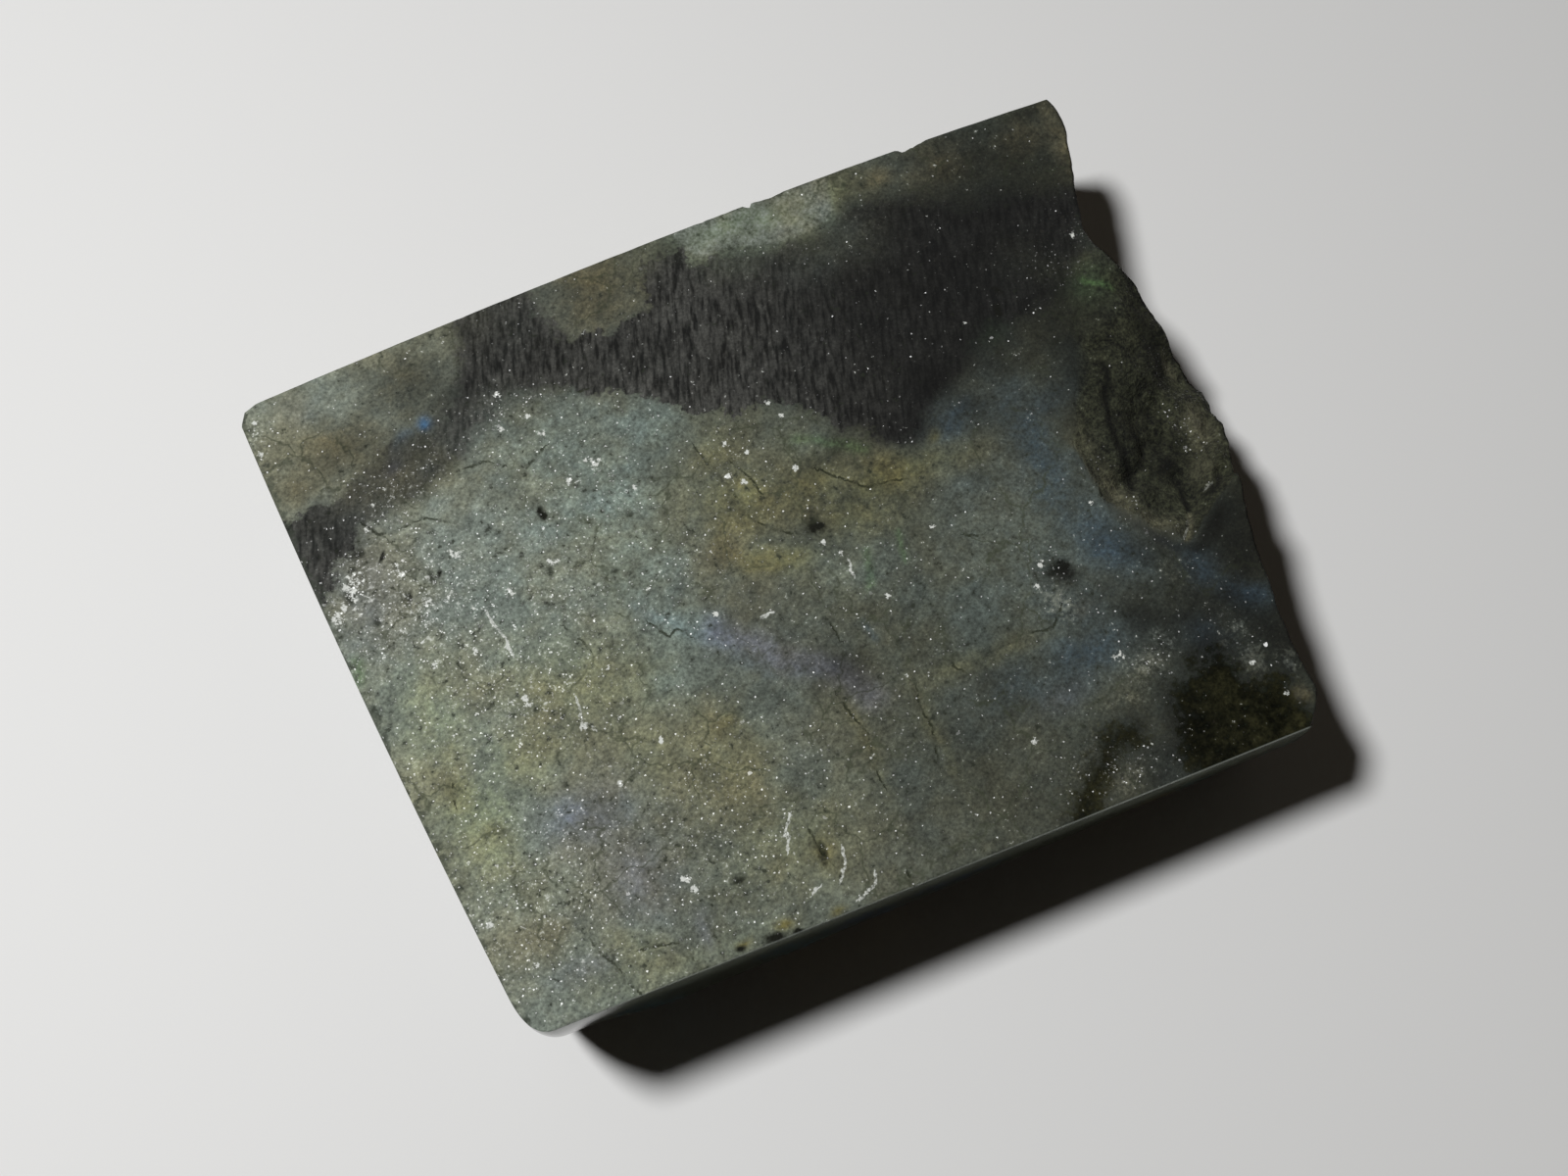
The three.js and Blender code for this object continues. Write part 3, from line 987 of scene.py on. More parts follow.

# %% [markdown]
# ## Ledges and hollows of the chip
#
# The mesh already holds the chip's shape. What it can't hold is painted: pale colour on the ledges, which
# stands for crushed dust and for the light that they catch, and black in the gaps between splinters, which
# is painted shade. Most of them follow the groove and the slab. A thin dark line below the chip's
# south-west edge is painted shadow.

# %% Pale ledges, painted shade in the hollows, and the painted shadow of the crest
# Pale on the chip's ledges: crushed dust, and a painted highlight where they catch the light.
zones["shelf_dust_and_highlight"] = np.maximum.reduce(
    [
        ovals(
            [
                (23.5, -5.6, 0.9, 2.4, 12, 0.9),
                (23.2, -1.0, 0.8, 2.6, 0, 0.35),
                (32.9, -2.6, 1.0, 1.9, 0, 1.0),
                (31.4, -5.6, 1.0, 1.2, 0, 0.4),
                (25.6, -8.8, 1.6, 1.0, -40, 0.7),
                (33.1, 3.2, 0.6, 0.8, 0, 0.9),
            ]
        ),
        seam([(22.4, 0.2), (22.3, -4.8)], 0.35, 0.5),
        seam([(28.2, -8.8), (27.6, -9.8), (26.7, -11.1)], 0.22, 0.9),
    ]
)
# Painted shade: black in the gaps between the chip's splinters.
zones["hollow_shade"] = np.maximum.reduce(
    [
        ovals(
            [
                (28.6, -4.4, 1.6, 0.9, 20, 1.0),
                (30.6, -3.4, 0.8, 1.6, 0, 0.6),
                (27.2, -2.0, 1.8, 4.0, 0, 0.3),
                (29.2, -10.7, 2.8, 0.9, 35, 0.9),
                (27.3, -11.9, 1.2, 0.7, 0, 0.8),
                (31.9, 5.4, 0.7, 4.2, 0, 0.6),
            ]
        ),
        seam([(27.3, 4.6), (27.1, 3.2), (26.4, 1.8), (26.0, 0.2)], 0.3, 0.9),
        seam([(26.0, 0.2), (25.8, -1.8), (25.4, -3.4), (25.3, -5.2)], 0.4, 1.0),
        seam([(28.4, -4.4), (29.0, -6.2), (28.6, -8.2)], 0.35, 0.8),
        seam([(30.3, -7.9), (31.2, -7.5), (32.2, -6.8)], 0.22, 0.95),
    ]
)
# Painted shadow: a thin dark line below the chip's south-west edge.
zones["crest_shadow"] = seam([(22.4, -6.0), (23.6, -7.9), (24.8, -9.9), (25.9, -11.6)], 0.35, 0.75)
report("shelf_dust_and_highlight", "hollow_shade", "crest_shadow")

# %% [markdown]
# ## The bright spot and the band
#
# One small spot beside the band still flashes bright blue, and a very faint streak crosses the
# middle of the face. Fade says where the band is thin and grey. The black band and the two mossy
# patches do have edges, so they are polygons, and the mesh carries the distance to the edge. An
# amount from 0 to 1 would blur the edge over one step of the mesh, but a distance stays exact
# between its points.

# %% Spot, fade, band and moss
EDGE_REACH = 3.0  # further than this from an edge, the distance to it doesn't matter
zones["spot"] = np.maximum(
    ovals([(-22.6, 18.9, 0.6, 0.55, 0, 1.0), (-24.4, 18.5, 1.2, 0.4, 20, 0.2)]),
    seam([(-13.6, -0.6), (-11.3, -3.0), (-8.8, -5.6), (-6.2, -9.0)], 0.55, 0.05),
)
zones["fade"] = ovals(
    [
        (-26.0, 15.8, 4.6, 1.9, 20, 0.8),
        (-17.5, 18.8, 2.4, 1.2, 0, 0.35),
        (-3.5, 25.8, 3.0, 1.2, 0, 0.4),
        (-15.0, 26.0, 3.0, 3.0, 0, 0.2),
        (12.0, 22.0, 4.0, 2.2, 0, 0.7),
        (5.0, 23.2, 3.0, 1.4, 0, 0.6),
        (26.0, 15.0, 3.0, 2.5, 0, 0.35),
    ]
)
zones["band"] = np.clip(inside(ragged, BAND), -EDGE_REACH, EDGE_REACH)
zones["moss"] = np.clip(
    np.maximum(inside(ragged, OLIVE_CORNER), inside(ragged, OLIVE_PATCH)), -EDGE_REACH, EDGE_REACH
)
report("spot", "fade", "band", "moss")

# %% [markdown]
# ## Glints and bruises
#
# Wherever the saw tore the surface instead of cutting it, flat cleavage faces are left, and they mirror the
# lamp. They cluster beside the black band on the left. The listed glints and their clusters are painted
# highlights: pale colour that stays bright from every side. A bruise is a longer tear, crushed white along
# its length. Single glints are places, bruises are lines, and both the clusters and the crushed ground
# around them are ovals.

# %% Glints and bruises
# Places of painted glints: pale spots of colour that stand for the lamp's glints.
PAINTED_GLINTS = [
    (-32.3, 8.8), (-31.5, 9.7), (-31.9, 7.7), (-32.9, 7.2), (-33.8, 6.7), (-28.4, 8.9),
    (-28.2, 8.2), (-24.3, 8.5), (-23.9, 8.2), (-27.4, 5.3), (-29.4, 12.5), (-21.4, 4.0),
    (-17.9, 5.2), (-14.3, 10.6), (-12.5, 11.7), (-12.0, 11.3), (-10.0, 8.3), (-17.6, 16.5),
    (-15.4, 16.8), (-16.8, 19.2), (-27.4, 20.0), (-34.4, 23.8), (-34.8, 21.2), (-14.8, 15.0),
    (-28.4, 0.6), (-23.2, -4.1), (-24.2, -4.0), (-28.7, -4.7), (-17.0, -4.3), (-20.0, -7.7),
    (-15.4, -10.6), (-19.2, -12.6), (-17.7, -20.5), (-17.3, -21.4), (-29.1, -22.2), (-31.0, -18.4),
    (-12.0, 0.3), (-8.2, -3.3), (-2.5, 9.1), (-1.2, 7.8), (-3.2, 6.5), (-2.3, 5.6),
    (2.0, 11.0), (2.5, 9.6), (1.8, 5.3), (1.3, -1.1), (2.2, -2.4), (4.0, -6.8),
    (-2.1, -17.5), (-9.9, -20.4), (15.5, -8.8), (14.5, -10.2), (18.0, -17.6), (17.4, -17.4),
    (21.3, -5.8), (9.2, -20.9), (30.2, 15.6), (9.3, -3.0), (26.6, -21.6), (27.8, -24.6),
]  # fmt: skip
BRUISES = [
    [(-23.6, 3.3), (-23.4, 2.6), (-23.2, 1.4), (-22.9, 0.4), (-22.9, -0.7)],
    [(-19.8, -5.6), (-20.0, -6.8), (-20.3, -7.7)],
    [(-19.9, -7.5), (-19.5, -8.1)],
    [(-9.0, -19.2), (-9.9, -20.2)],
    [(-9.7, -20.6), (-10.2, -21.5)],
    [(-6.6, -22.8), (-6.9, -23.9), (-7.8, -24.9)],
    [(-5.2, -25.2), (-5.6, -26.0), (-7.0, -26.5)],
    [(-9.2, -24.6), (-9.7, -24.9)],
    [(-4.4, -4.8), (-5.2, -4.9)],
    [(2.5, -3.2), (2.3, -4.3)],
    [(27.7, -9.6), (26.9, -10.6), (26.6, -11.0)],
    [(30.9, -7.4), (30.3, -7.7)],
]
print(len(CRACKS), "cracks,", len(PITS), "pits,", len(BRUISES), "bruises and", len(PAINTED_GLINTS), "glints")

# %% Crushed ground, and clusters of painted glints in it
CRUSHED = [
    (-28.0, 5.0, 7.0, 6.0, 0, 0.85),
    (-31.5, 8.6, 3.0, 2.5, 40, 1.0),
    (-24.0, -3.0, 9.0, 7.0, 0, 0.6),
    (-21.5, -4.6, 3.0, 1.6, 0, 0.7),
    (-15.0, 9.0, 6.0, 6.0, 0, 0.4),
    (-18.0, 4.0, 5.0, 6.0, 0, 0.6),
    (-10.0, 1.0, 6.0, 6.0, 0, 0.3),
    (-16.5, 18.0, 4.0, 1.6, 0, 0.45),
    (-3.0, 7.0, 3.0, 4.0, 0, 0.3),
    (-34.2, 22.5, 1.0, 2.4, 0, 0.6),
    (-27.0, -18.0, 8.0, 8.0, 0, 0.6),
    (-14.0, -18.0, 8.0, 7.0, 0, 0.4),
    (0.0, -8.0, 9.0, 12.0, 0, 0.1),
    (-26.5, 14.5, 5.0, 2.4, 20, 0.6),
    (24.5, -7.0, 1.2, 4.0, 20, 0.6),
    (31.5, 15.5, 1.4, 2.6, 30, 0.6),
    (28.6, 13.0, 1.6, 1.2, 0, 0.5),
    (32.2, -2.0, 1.2, 3.0, 0, 0.4),
    (15.5, -10.0, 1.8, 2.2, 0, 0.6),
    (14.0, -25.0, 4.0, 2.0, 0, 0.5),
    (28.0, 15.0, 3.0, 2.0, 0, 0.3),
    (19.8, -18.8, 2.2, 1.4, 20, 0.55),
    (26.4, -18.6, 1.4, 1.8, 0, 0.5),
]
# Clusters of painted glints: pale colour in place of the lamp's glints.
PAINTED_GLINT_CLUSTERS = [
    (-32.3, 8.7, 0.6, 1.5, -25, 1.0),
    (-31.3, 9.1, 0.4, 0.8, -10, 0.9),
    (-33.7, 6.8, 0.4, 0.9, -15, 1.0),
    (-28.4, 8.6, 0.4, 0.7, 10, 1.0),
    (-24.3, 8.3, 0.6, 0.5, -30, 1.0),
    (-27.4, 5.3, 0.6, 0.5, -20, 1.0),
    (-25.3, 0.5, 0.3, 0.6, 10, 0.9),
    (-17.8, 5.2, 0.5, 0.3, 0, 1.0),
    (-21.4, 3.9, 0.3, 0.5, 20, 1.0),
    (-12.4, 11.4, 0.6, 0.4, -40, 1.0),
    (-14.3, 10.6, 0.3, 0.3, 0, 0.9),
    (-10.0, 8.4, 0.3, 0.5, 0, 0.8),
    (-17.4, 16.5, 0.4, 0.4, 0, 0.8),
    (-16.8, 19.1, 0.3, 0.3, 0, 0.8),
    (-34.6, 23.4, 0.4, 0.8, 0, 0.6),
    (-19.6, -8.1, 0.3, 0.3, 0, 1.0),
    (-17.7, -20.4, 0.5, 0.5, 0, 1.0),
    (-17.2, -21.6, 0.3, 0.3, 0, 0.9),
    (-22.5, -4.4, 1.6, 0.6, 0, 0.5),
    (-2.2, 8.4, 0.3, 1.0, 20, 0.7),
    (-3.2, 6.0, 0.3, 0.7, 10, 0.7),
    (17.9, -17.4, 0.6, 0.3, 20, 0.9),
    (15.5, -8.9, 0.4, 0.3, 0, 0.8),
]
print(len(CRUSHED), "ovals of crushed ground and", len(PAINTED_GLINT_CLUSTERS), "clusters")

# %% How near each point is to a tear
PAINTED_GLINT_RADIUS = 0.5
LINE_REACH = 2.0  # further than this from a line, the distance to it doesn't matter
nearest_painted_glint = np.min([np.linalg.norm(zone_plan - place, axis=1) for place in PAINTED_GLINTS], axis=0)
crack_side = side_of(zone_plan, CRACKS)
bruise_side = side_of(zone_plan, BRUISES)
torn = {
    "pit": pit_amount(zone_plan),
    # Painted glints: a pale spot round each listed place.
    "painted_glint": np.exp(-((nearest_painted_glint / PAINTED_GLINT_RADIUS) ** 2)),
    "crushed": ovals(CRUSHED),
    "painted_glint_cluster": ovals(PAINTED_GLINT_CLUSTERS),
    "crack_side": np.clip(crack_side, -LINE_REACH, LINE_REACH),
    "crack_near": 1 - ramp(np.abs(crack_side), 0.35, 0.75),
    "bruise_side": np.clip(bruise_side, -LINE_REACH, LINE_REACH),
    "bruise_near": 1 - ramp(np.abs(bruise_side), 0.3, 0.6),
}
print(np.count_nonzero(nearest_painted_glint < PAINTED_GLINT_RADIUS), "points lie on a glint")

# %% The finishes
FACING = 0.7  # a wall faces a side when its outward direction has at least this much of it
top_count = len(face)
rim_fall = rim_place[:, 2] - wall[:, :, 2]
below_top = np.concatenate([rim_fall.ravel(), np.full(len(places) - top_count - rim_fall.size, FAR)])


def gap_to(share_from_edge, size, faces_it):
    """Distance from one edge of the face, inwards on the face and downwards on the wall."""
    on_wall = np.where(np.tile(faces_it, len(rings) - 1), below_top[:-1], FAR)
    return np.concatenate([share_from_edge.ravel() * size, on_wall, [FAR]])


face_v, face_u = np.meshgrid(v.ravel(), u.ravel())
polish_row = np.where(polish_share > 0.5, 1.0, 0.0)
finishes = {
    "polish": np.concatenate([np.zeros(top_count), np.tile(polish_row, ring_total), [1.0]]),
    "broken": np.concatenate([ramp(depth, 0.02, 0.45), np.tile(break_share, ring_total), [0.0]]),
    "below": np.concatenate([np.zeros(top_count), below_top]),
    "front_gap": gap_to(face_v, 2 * HALF_WIDTH, outward[:, 1] < -FACING),
    "left_gap": gap_to(face_u, 2 * HALF_LENGTH, outward[:, 0] < -FACING),
}
finishes["polish"][len(places) - 1 - len(SHRINK) * count :] = 1.0  # all of the underside
carried = {**zones, **torn, **finishes}
for name, values in carried.items():
    mesh.attributes.new(name, "FLOAT", "POINT").data.foreach_set("value", values.astype(np.float32))
    print(f"{name:12s} from {values.min():5.2f} to {values.max():5.2f}")

# %% [markdown]
# ## Two helpers for materials
#
# Colours are chosen as sRGB hex codes, as a paint chart gives them, but shaders work with
# linear light, so one function converts them. The other adds a node, sets it up and links it,
# so that a material reads as a list of what feeds what. Inputs are given by number: a Math node
# works on 0 and 1, and a MapRange node turns its input 0 from the range between 1 and 2 into
# the range between 3 and 4. Each of these ranges goes from 0 to 1 where it isn't given.

# %% Helpers
def linear(code):
    """Turns an sRGB hex colour into the linear values that shaders work in."""
    parts = [int(code[i : i + 2], 16) / 255 for i in (1, 3, 5)]
    return (*[p / 12.92 if p <= 0.04045 else ((p + 0.055) / 1.055) ** 2.4 for p in parts], 1.0)


def add(tree, kind, feeds=(), out=0, **settings):
    """Adds a node, sets its fields, fills or links its inputs, and returns one of its outputs."""
    node = tree.nodes.new("ShaderNode" + kind)
    for field, value in settings.items():
        setattr(node, field, value)
    for socket, value in dict(feeds).items():
        if isinstance(value, bpy.types.NodeSocket):
            tree.links.new(value, node.inputs[socket])
        else:
            node.inputs[socket].default_value = value
    return node.outputs[out] if node.outputs else node


MIX_A, MIX_B, MIX_OUT = 6, 7, 2  # the colour sockets of a Mix node

# %% [markdown]
# ## The stone's patterns
#
# Labradorite is a feldspar. A saw cut crushes its surface into a frosted skin, which is pale
# where the stone below is milky, and almost black where it is clear. The patterns are noise in
# four sizes, and noise drawn out along a direction: the saw's feed marks, and the fine twin
# lamellae that comb the black band. The finest real grain is under a tenth of a millimetre,
# smaller than a pixel from here, so it is drawn three times as coarse.

# %% Patterns in millimetres
material = bpy.data.materials.new("sawn_and_polished_labradorite")
material.use_nodes = True
nodes = material.node_tree
nodes.nodes.clear()

METRES_TO_MM = 1000.0
object_place = add(nodes, "TexCoord", out="Object")
place = add(nodes, "VectorMath", {0: object_place, 1: [METRES_TO_MM] * 3}, operation="MULTIPLY")
amount = {name: add(nodes, "Attribute", out="Fac", attribute_name=name) for name in carried}

SIZES = {"cloud": 6.0, "mottle": 2.2, "speckle": 0.6, "grain": 0.24}
pattern = {
    name: add(nodes, "TexNoise", {"Vector": place, "Scale": 1 / size, "Detail": 4.0, "Roughness": 0.6})
    for name, size in SIZES.items()
}


def streaks(turn, length, width, detail):
    """Noise drawn out into streaks: its place is turned, then divided by a length and a width."""
    turned = add(nodes, "Mapping", {0: place, "Rotation": (0, 0, -math.radians(turn))})
    drawn = add(nodes, "VectorMath", {0: turned, 1: (1 / length, 1 / width, 1.0)}, operation="MULTIPLY")
    return add(nodes, "TexNoise", {"Vector": drawn, "Scale": 1.0, "Detail": detail})


SAW_TURN = 37.0
LAMELLA_TURN = 72.0
raggedness = add(nodes, "Math", {0: pattern["mottle"], 1: pattern["speckle"]}, operation="ADD")
granular = add(nodes, "Math", {0: pattern["grain"], 1: pattern["speckle"]}, operation="ADD")
along = add(nodes, "SeparateXYZ", {0: place}, out="X")
saw_lines = streaks(SAW_TURN, 9.0, 0.25, 2.0)
lamellae = streaks(LAMELLA_TURN, 1.5, 0.33, 4.0)
print("noise sizes in mm:", SIZES)

# %% [markdown]
# ## Zones of colour
#
# The zones lie over each other like coats of paint, each as thick as the mesh says. The mottle
# makes every coat patchy, and clouds of a warmer and a cooler grey run through all of them.
# Where the stone is clear, no milky depth lights it up from inside: that makes the corner
# mossy green, and it makes the band black. The band's edge is crisp at the far left and in the
# middle, and melts away to the right. Its fine lamellae lie on end, so that the saw has combed
# them.

# %% Zones of colour
TINTS = {
    "teal": "#79847c",
    "yellow": "#848a70",
    "olive": "#726f4e",
    "tan": "#65604c",
    "lavender": "#6c7079",
    "blue": "#3c4a54",
    "green": "#56724a",
    "ochre": "#6a643e",
    "spot": "#5a86b4",
}
FROST_DARK = "#2c3029"
FROST_PALE = "#7e8378"
MILKY_PALE = "#777a71"
patchy = add(nodes, "MapRange", {0: raggedness, 1: 0.75, 2: 1.25, 3: 0.6, 4: 1.4})
colour_ends = {"Factor": amount["frost"], MIX_A: linear(FROST_DARK), MIX_B: linear(FROST_PALE)}
colour = add(nodes, "Mix", colour_ends, out=MIX_OUT, data_type="RGBA")
for name, tint in TINTS.items():
    share = add(nodes, "Math", {0: amount[name], 1: patchy}, operation="MULTIPLY", use_clamp=True)
    feeds = {"Factor": share, MIX_A: colour, MIX_B: linear(tint)}
    colour = add(nodes, "Mix", feeds, out=MIX_OUT, data_type="RGBA")

pale = add(nodes, "Math", {0: amount["pale"], 1: granular}, operation="ADD")
pale = add(nodes, "MapRange", {0: pale, 1: 1.2, 2: 1.75})
feeds = {"Factor": pale, MIX_A: colour, MIX_B: linear(MILKY_PALE)}
colour = add(nodes, "Mix", feeds, out=MIX_OUT, data_type="RGBA")

warmth = add(nodes, "MapRange", {0: pattern["cloud"], 1: 0.38, 2: 0.62})
warm_to_cool = {"Factor": warmth, MIX_A: linear("#fff9e8"), MIX_B: linear("#f1f8fb")}
hue = add(nodes, "Mix", warm_to_cool, out=MIX_OUT, data_type="RGBA")
colour = add(nodes, "VectorMath", {0: colour, 1: hue}, operation="MULTIPLY")
print(len(TINTS), "tints lie over the frost")

# %% The moss-green corner and the black band
RAGGED_MM = 1.3
edge_shift = add(
    nodes, "MapRange", {0: raggedness, 1: 0.75, 2: 1.25, 3: -RAGGED_MM / 2, 4: RAGGED_MM / 2}
)
moss_shift = add(nodes, "Math", {0: edge_shift, 1: 1.6}, operation="MULTIPLY")
moss_edge = add(nodes, "Math", {0: amount["moss"], 1: moss_shift}, operation="ADD")
moss = add(nodes, "MapRange", {0: moss_edge, 1: -1.7, 2: 1.1, 4: 0.94}, interpolation_type="SMOOTHSTEP")
moss_tone = add(nodes, "MapRange", {0: raggedness, 1: 0.8, 2: 1.3})
moss_ends = {"Factor": moss_tone, MIX_A: linear("#080904"), MIX_B: linear("#292817")}
moss_colour = add(nodes, "Mix", moss_ends, out=MIX_OUT, data_type="RGBA")

band_edge = add(nodes, "MapRange", {0: edge_shift, 1: -1, 2: 1, 3: -1.1, 4: 1.1}, clamp=False)
band_edge = add(nodes, "Math", {0: amount["band"], 1: band_edge}, operation="ADD")
SOFTNESS_AT_LEFT = 0.3
SOFTNESS_STEPS = ((-31.0, -27.0, 0.9), (-13.0, -9.0, 0.25), (4.0, 16.0, 1.3))  # from X, to X, new
softness = SOFTNESS_AT_LEFT
for start, end, width in SOFTNESS_STEPS:
    softness = add(nodes, "MapRange", {0: along, 1: start, 2: end, 3: softness, 4: width})
outer = add(nodes, "Math", {0: 0.0, 1: softness}, operation="SUBTRACT")
band = add(nodes, "MapRange", {0: band_edge, 1: outer, 2: softness}, interpolation_type="SMOOTHSTEP")
band_strength = add(nodes, "MapRange", {0: amount["fade"], 3: 0.96, 4: 0.2})
band = add(nodes, "Math", {0: band, 1: band_strength}, operation="MULTIPLY")
comb_reach = add(nodes, "MapRange", {0: along, 1: 0.0, 2: 12.0, 3: 1.0, 4: 0.25})
comb = add(nodes, "MapRange", {0: lamellae, 1: 0.36, 2: 0.6})
comb = add(nodes, "Math", {0: comb, 1: comb_reach}, operation="MULTIPLY")
band_ends = {"Factor": comb, MIX_A: linear("#0a0a0a"), MIX_B: linear("#42423f")}
band_colour = add(nodes, "Mix", band_ends, out=MIX_OUT, data_type="RGBA")
for share, tint in ((moss, moss_colour), (band, band_colour)):
    colour = add(nodes, "Mix", {"Factor": share, MIX_A: colour, MIX_B: tint}, out=MIX_OUT, data_type="RGBA")
print("the edges of the corner and the band are ragged by", RAGGED_MM, "mm")

# %% Mottling, grain and saw lines
TONES = [(pattern["mottle"], 0.27), (pattern["speckle"], 0.28), (pattern["grain"], 0.42), (saw_lines, 0.12)]
for source, swing in TONES:
    tone = add(nodes, "MapRange", {0: source, 1: 0.3, 2: 0.7, 3: 1 - swing, 4: 1 + swing})
    colour = add(nodes, "VectorMath", {0: colour, "Scale": tone}, operation="SCALE")
print("tones swing by", [swing for _, swing in TONES])

# %% [markdown]
# ## Cracks, specks and torn places
#
# A crack is drawn where the distance to its line, with a little noise added, is near 0. The same trick on
# the edges of large Voronoi cells gives the net of hairline cracks that runs through the whole stone, and
# clouds hide most of it. Small dark specks are grains of pyroxene and iron oxide. Torn places are crushed
# white, and the listed glints and their clusters are painted highlights in the same pale colour: wherever
# an amount from the mesh and the grain together pass a limit, so a stronger amount gives more and larger
# flakes.

# %% Dark lines and specks
CRACK_HALF_WIDTH = 0.11
wobble = add(nodes, "MapRange", {0: pattern["speckle"], 1: 0.3, 2: 0.7, 3: -0.14, 4: 0.14})
lines = {}
for name, half_width in (("crack", CRACK_HALF_WIDTH), ("bruise", 0.2)):
    off = add(nodes, "Math", {0: amount[name + "_side"], 1: wobble}, operation="ADD")
    off = add(nodes, "Math", {0: off}, operation="ABSOLUTE")
    thin = add(nodes, "MapRange", {0: off, 1: 0.4 * half_width, 2: 1.2 * half_width, 3: 1.0, 4: 0.0})
    lines[name] = add(nodes, "Math", {0: thin, 1: amount[name + "_near"]}, operation="MULTIPLY")
broken_up = add(nodes, "MapRange", {0: raggedness, 1: 0.92, 2: 1.08, 4: 0.85})
crack = add(nodes, "Math", {0: lines["crack"], 1: broken_up}, operation="MULTIPLY")

NET_SIZE = 5.5
warp = add(nodes, "TexNoise", {"Vector": place, "Scale": 1 / 1.8, "Detail": 3.0}, out="Color")
warp = add(nodes, "VectorMath", {0: warp, "Scale": 2.6}, operation="SCALE")
warped = add(nodes, "VectorMath", {0: place, 1: warp}, operation="ADD")
net = add(nodes, "TexVoronoi", {"Vector": warped, "Scale": 1 / NET_SIZE}, feature="DISTANCE_TO_EDGE")
net = add(nodes, "MapRange", {0: net, 1: 0.006, 2: 0.022, 3: 0.6, 4: 0.0})
net_shown = add(nodes, "MapRange", {0: pattern["cloud"], 1: 0.44, 2: 0.56, 3: 1.0, 4: 0.0})
clear = add(nodes, "Math", {0: band, 1: moss}, operation="MAXIMUM")
net_shown = add(nodes, "Math", {0: net_shown, 1: clear}, operation="SUBTRACT", use_clamp=True)
net = add(nodes, "Math", {0: net, 1: net_shown}, operation="MULTIPLY")

more_specks = add(nodes, "Math", {0: amount["crushed"], 1: 0.05}, operation="MULTIPLY")
speck = add(nodes, "Math", {0: pattern["speckle"], 1: more_specks}, operation="SUBTRACT")
speck = add(nodes, "MapRange", {0: speck, 1: 0.3, 2: 0.36, 3: 0.75, 4: 0.0})
black = add(nodes, "Math", {0: amount["black"], 1: raggedness}, operation="ADD")
black = add(nodes, "MapRange", {0: black, 1: 1.35, 2: 1.75})
# Painted shade: each pit is darkened in its dent.
pit = add(nodes, "MapRange", {0: amount["pit"], 1: 0.3, 2: 0.8, 4: 0.8})
dark_marks = (
    (speck, "#262b20"),
    (net, "#3a402f"),
    (pit, "#1c2114"),
    (black, "#0e1005"),
    # painted shadow below the chip's south-west edge
    (amount["crest_shadow"], "#1d2328"),
    (crack, "#232816"),
)
for share, tint in dark_marks:
    feeds = {"Factor": share, MIX_A: colour, MIX_B: linear(tint)}
    colour = add(nodes, "Mix", feeds, out=MIX_OUT, data_type="RGBA")

# Shade darkens the colour: clear stone, and round the chip partly painted shade.
shading = add(nodes, "MapRange", {0: amount["shade"], 3: 1.0, 4: 0.2})
colour = add(nodes, "VectorMath", {0: colour, "Scale": shading}, operation="SCALE")
print("a crack is about", round(2 * CRACK_HALF_WIDTH, 1), "mm wide, and a cell of the net", NET_SIZE, "mm")

# %% Torn and crushed places, and painted glints
# This pale colour is crushed stone, and also the painted highlight of the listed glints and clusters.
CRUSHED_AND_GLINT_COLOUR = "#d9dcd6"
fleck_rise = add(nodes, "Math", {0: amount["crushed"], 1: 0.24}, operation="MULTIPLY")
fleck_chance = add(nodes, "Math", {0: granular, 1: fleck_rise}, operation="ADD")
fleck = add(nodes, "MapRange", {0: fleck_chance, 1: 1.3, 2: 1.42, 4: 0.5})
painted_glint_cluster = add(nodes, "Math", {0: amount["painted_glint_cluster"], 1: 0.4}, operation="MULTIPLY")
painted_glint_cluster = add(nodes, "Math", {0: painted_glint_cluster, 1: granular}, operation="ADD")
painted_glint_cluster = add(nodes, "MapRange", {0: painted_glint_cluster, 1: 1.28, 2: 1.4})
# Painted glints: pale colour in place of the lamp's glints.
painted_glint_shape = add(nodes, "Math", {0: amount["painted_glint"], 1: granular}, operation="ADD")
painted_glint = add(nodes, "MapRange", {0: painted_glint_shape, 1: 1.78, 2: 1.92})
torn_blob = add(nodes, "Math", {0: amount["crushed"], 1: 0.12}, operation="MULTIPLY")
torn_blob = add(nodes, "Math", {0: torn_blob, 1: pattern["speckle"]}, operation="ADD")
torn_blob = add(nodes, "MapRange", {0: torn_blob, 1: 0.75, 2: 0.79})
bruise_shape = add(nodes, "Math", {0: lines["bruise"], 1: granular}, operation="ADD")
bruise = add(nodes, "MapRange", {0: bruise_shape, 1: 1.8, 2: 2.1, 4: 0.85})
crushed_and_glint_share = add(nodes, "Math", {0: painted_glint, 1: bruise}, operation="MAXIMUM")
for more in (fleck, painted_glint_cluster, torn_blob):
    crushed_and_glint_share = add(nodes, "Math", {0: crushed_and_glint_share, 1: more}, operation="MAXIMUM")
feeds = {"Factor": crushed_and_glint_share, MIX_A: colour, MIX_B: linear(CRUSHED_AND_GLINT_COLOUR)}
colour = add(nodes, "Mix", feeds, out=MIX_OUT, data_type="RGBA")
print("crushed stone in linear light:", [round(part, 3) for part in linear(CRUSHED_AND_GLINT_COLOUR)[:3]])

# %% [markdown]
# ## The broken end and the rims
#
# Fresh fracture shows the stone's own dark olive, with a little of each zone in it. The chip's ledges are
# painted pale, for dust and for the light that they catch, and its hollows are painted black as shade. The
# fine bright line along the front rim is a painted highlight, and the blade has chipped a dark one at the
# left.

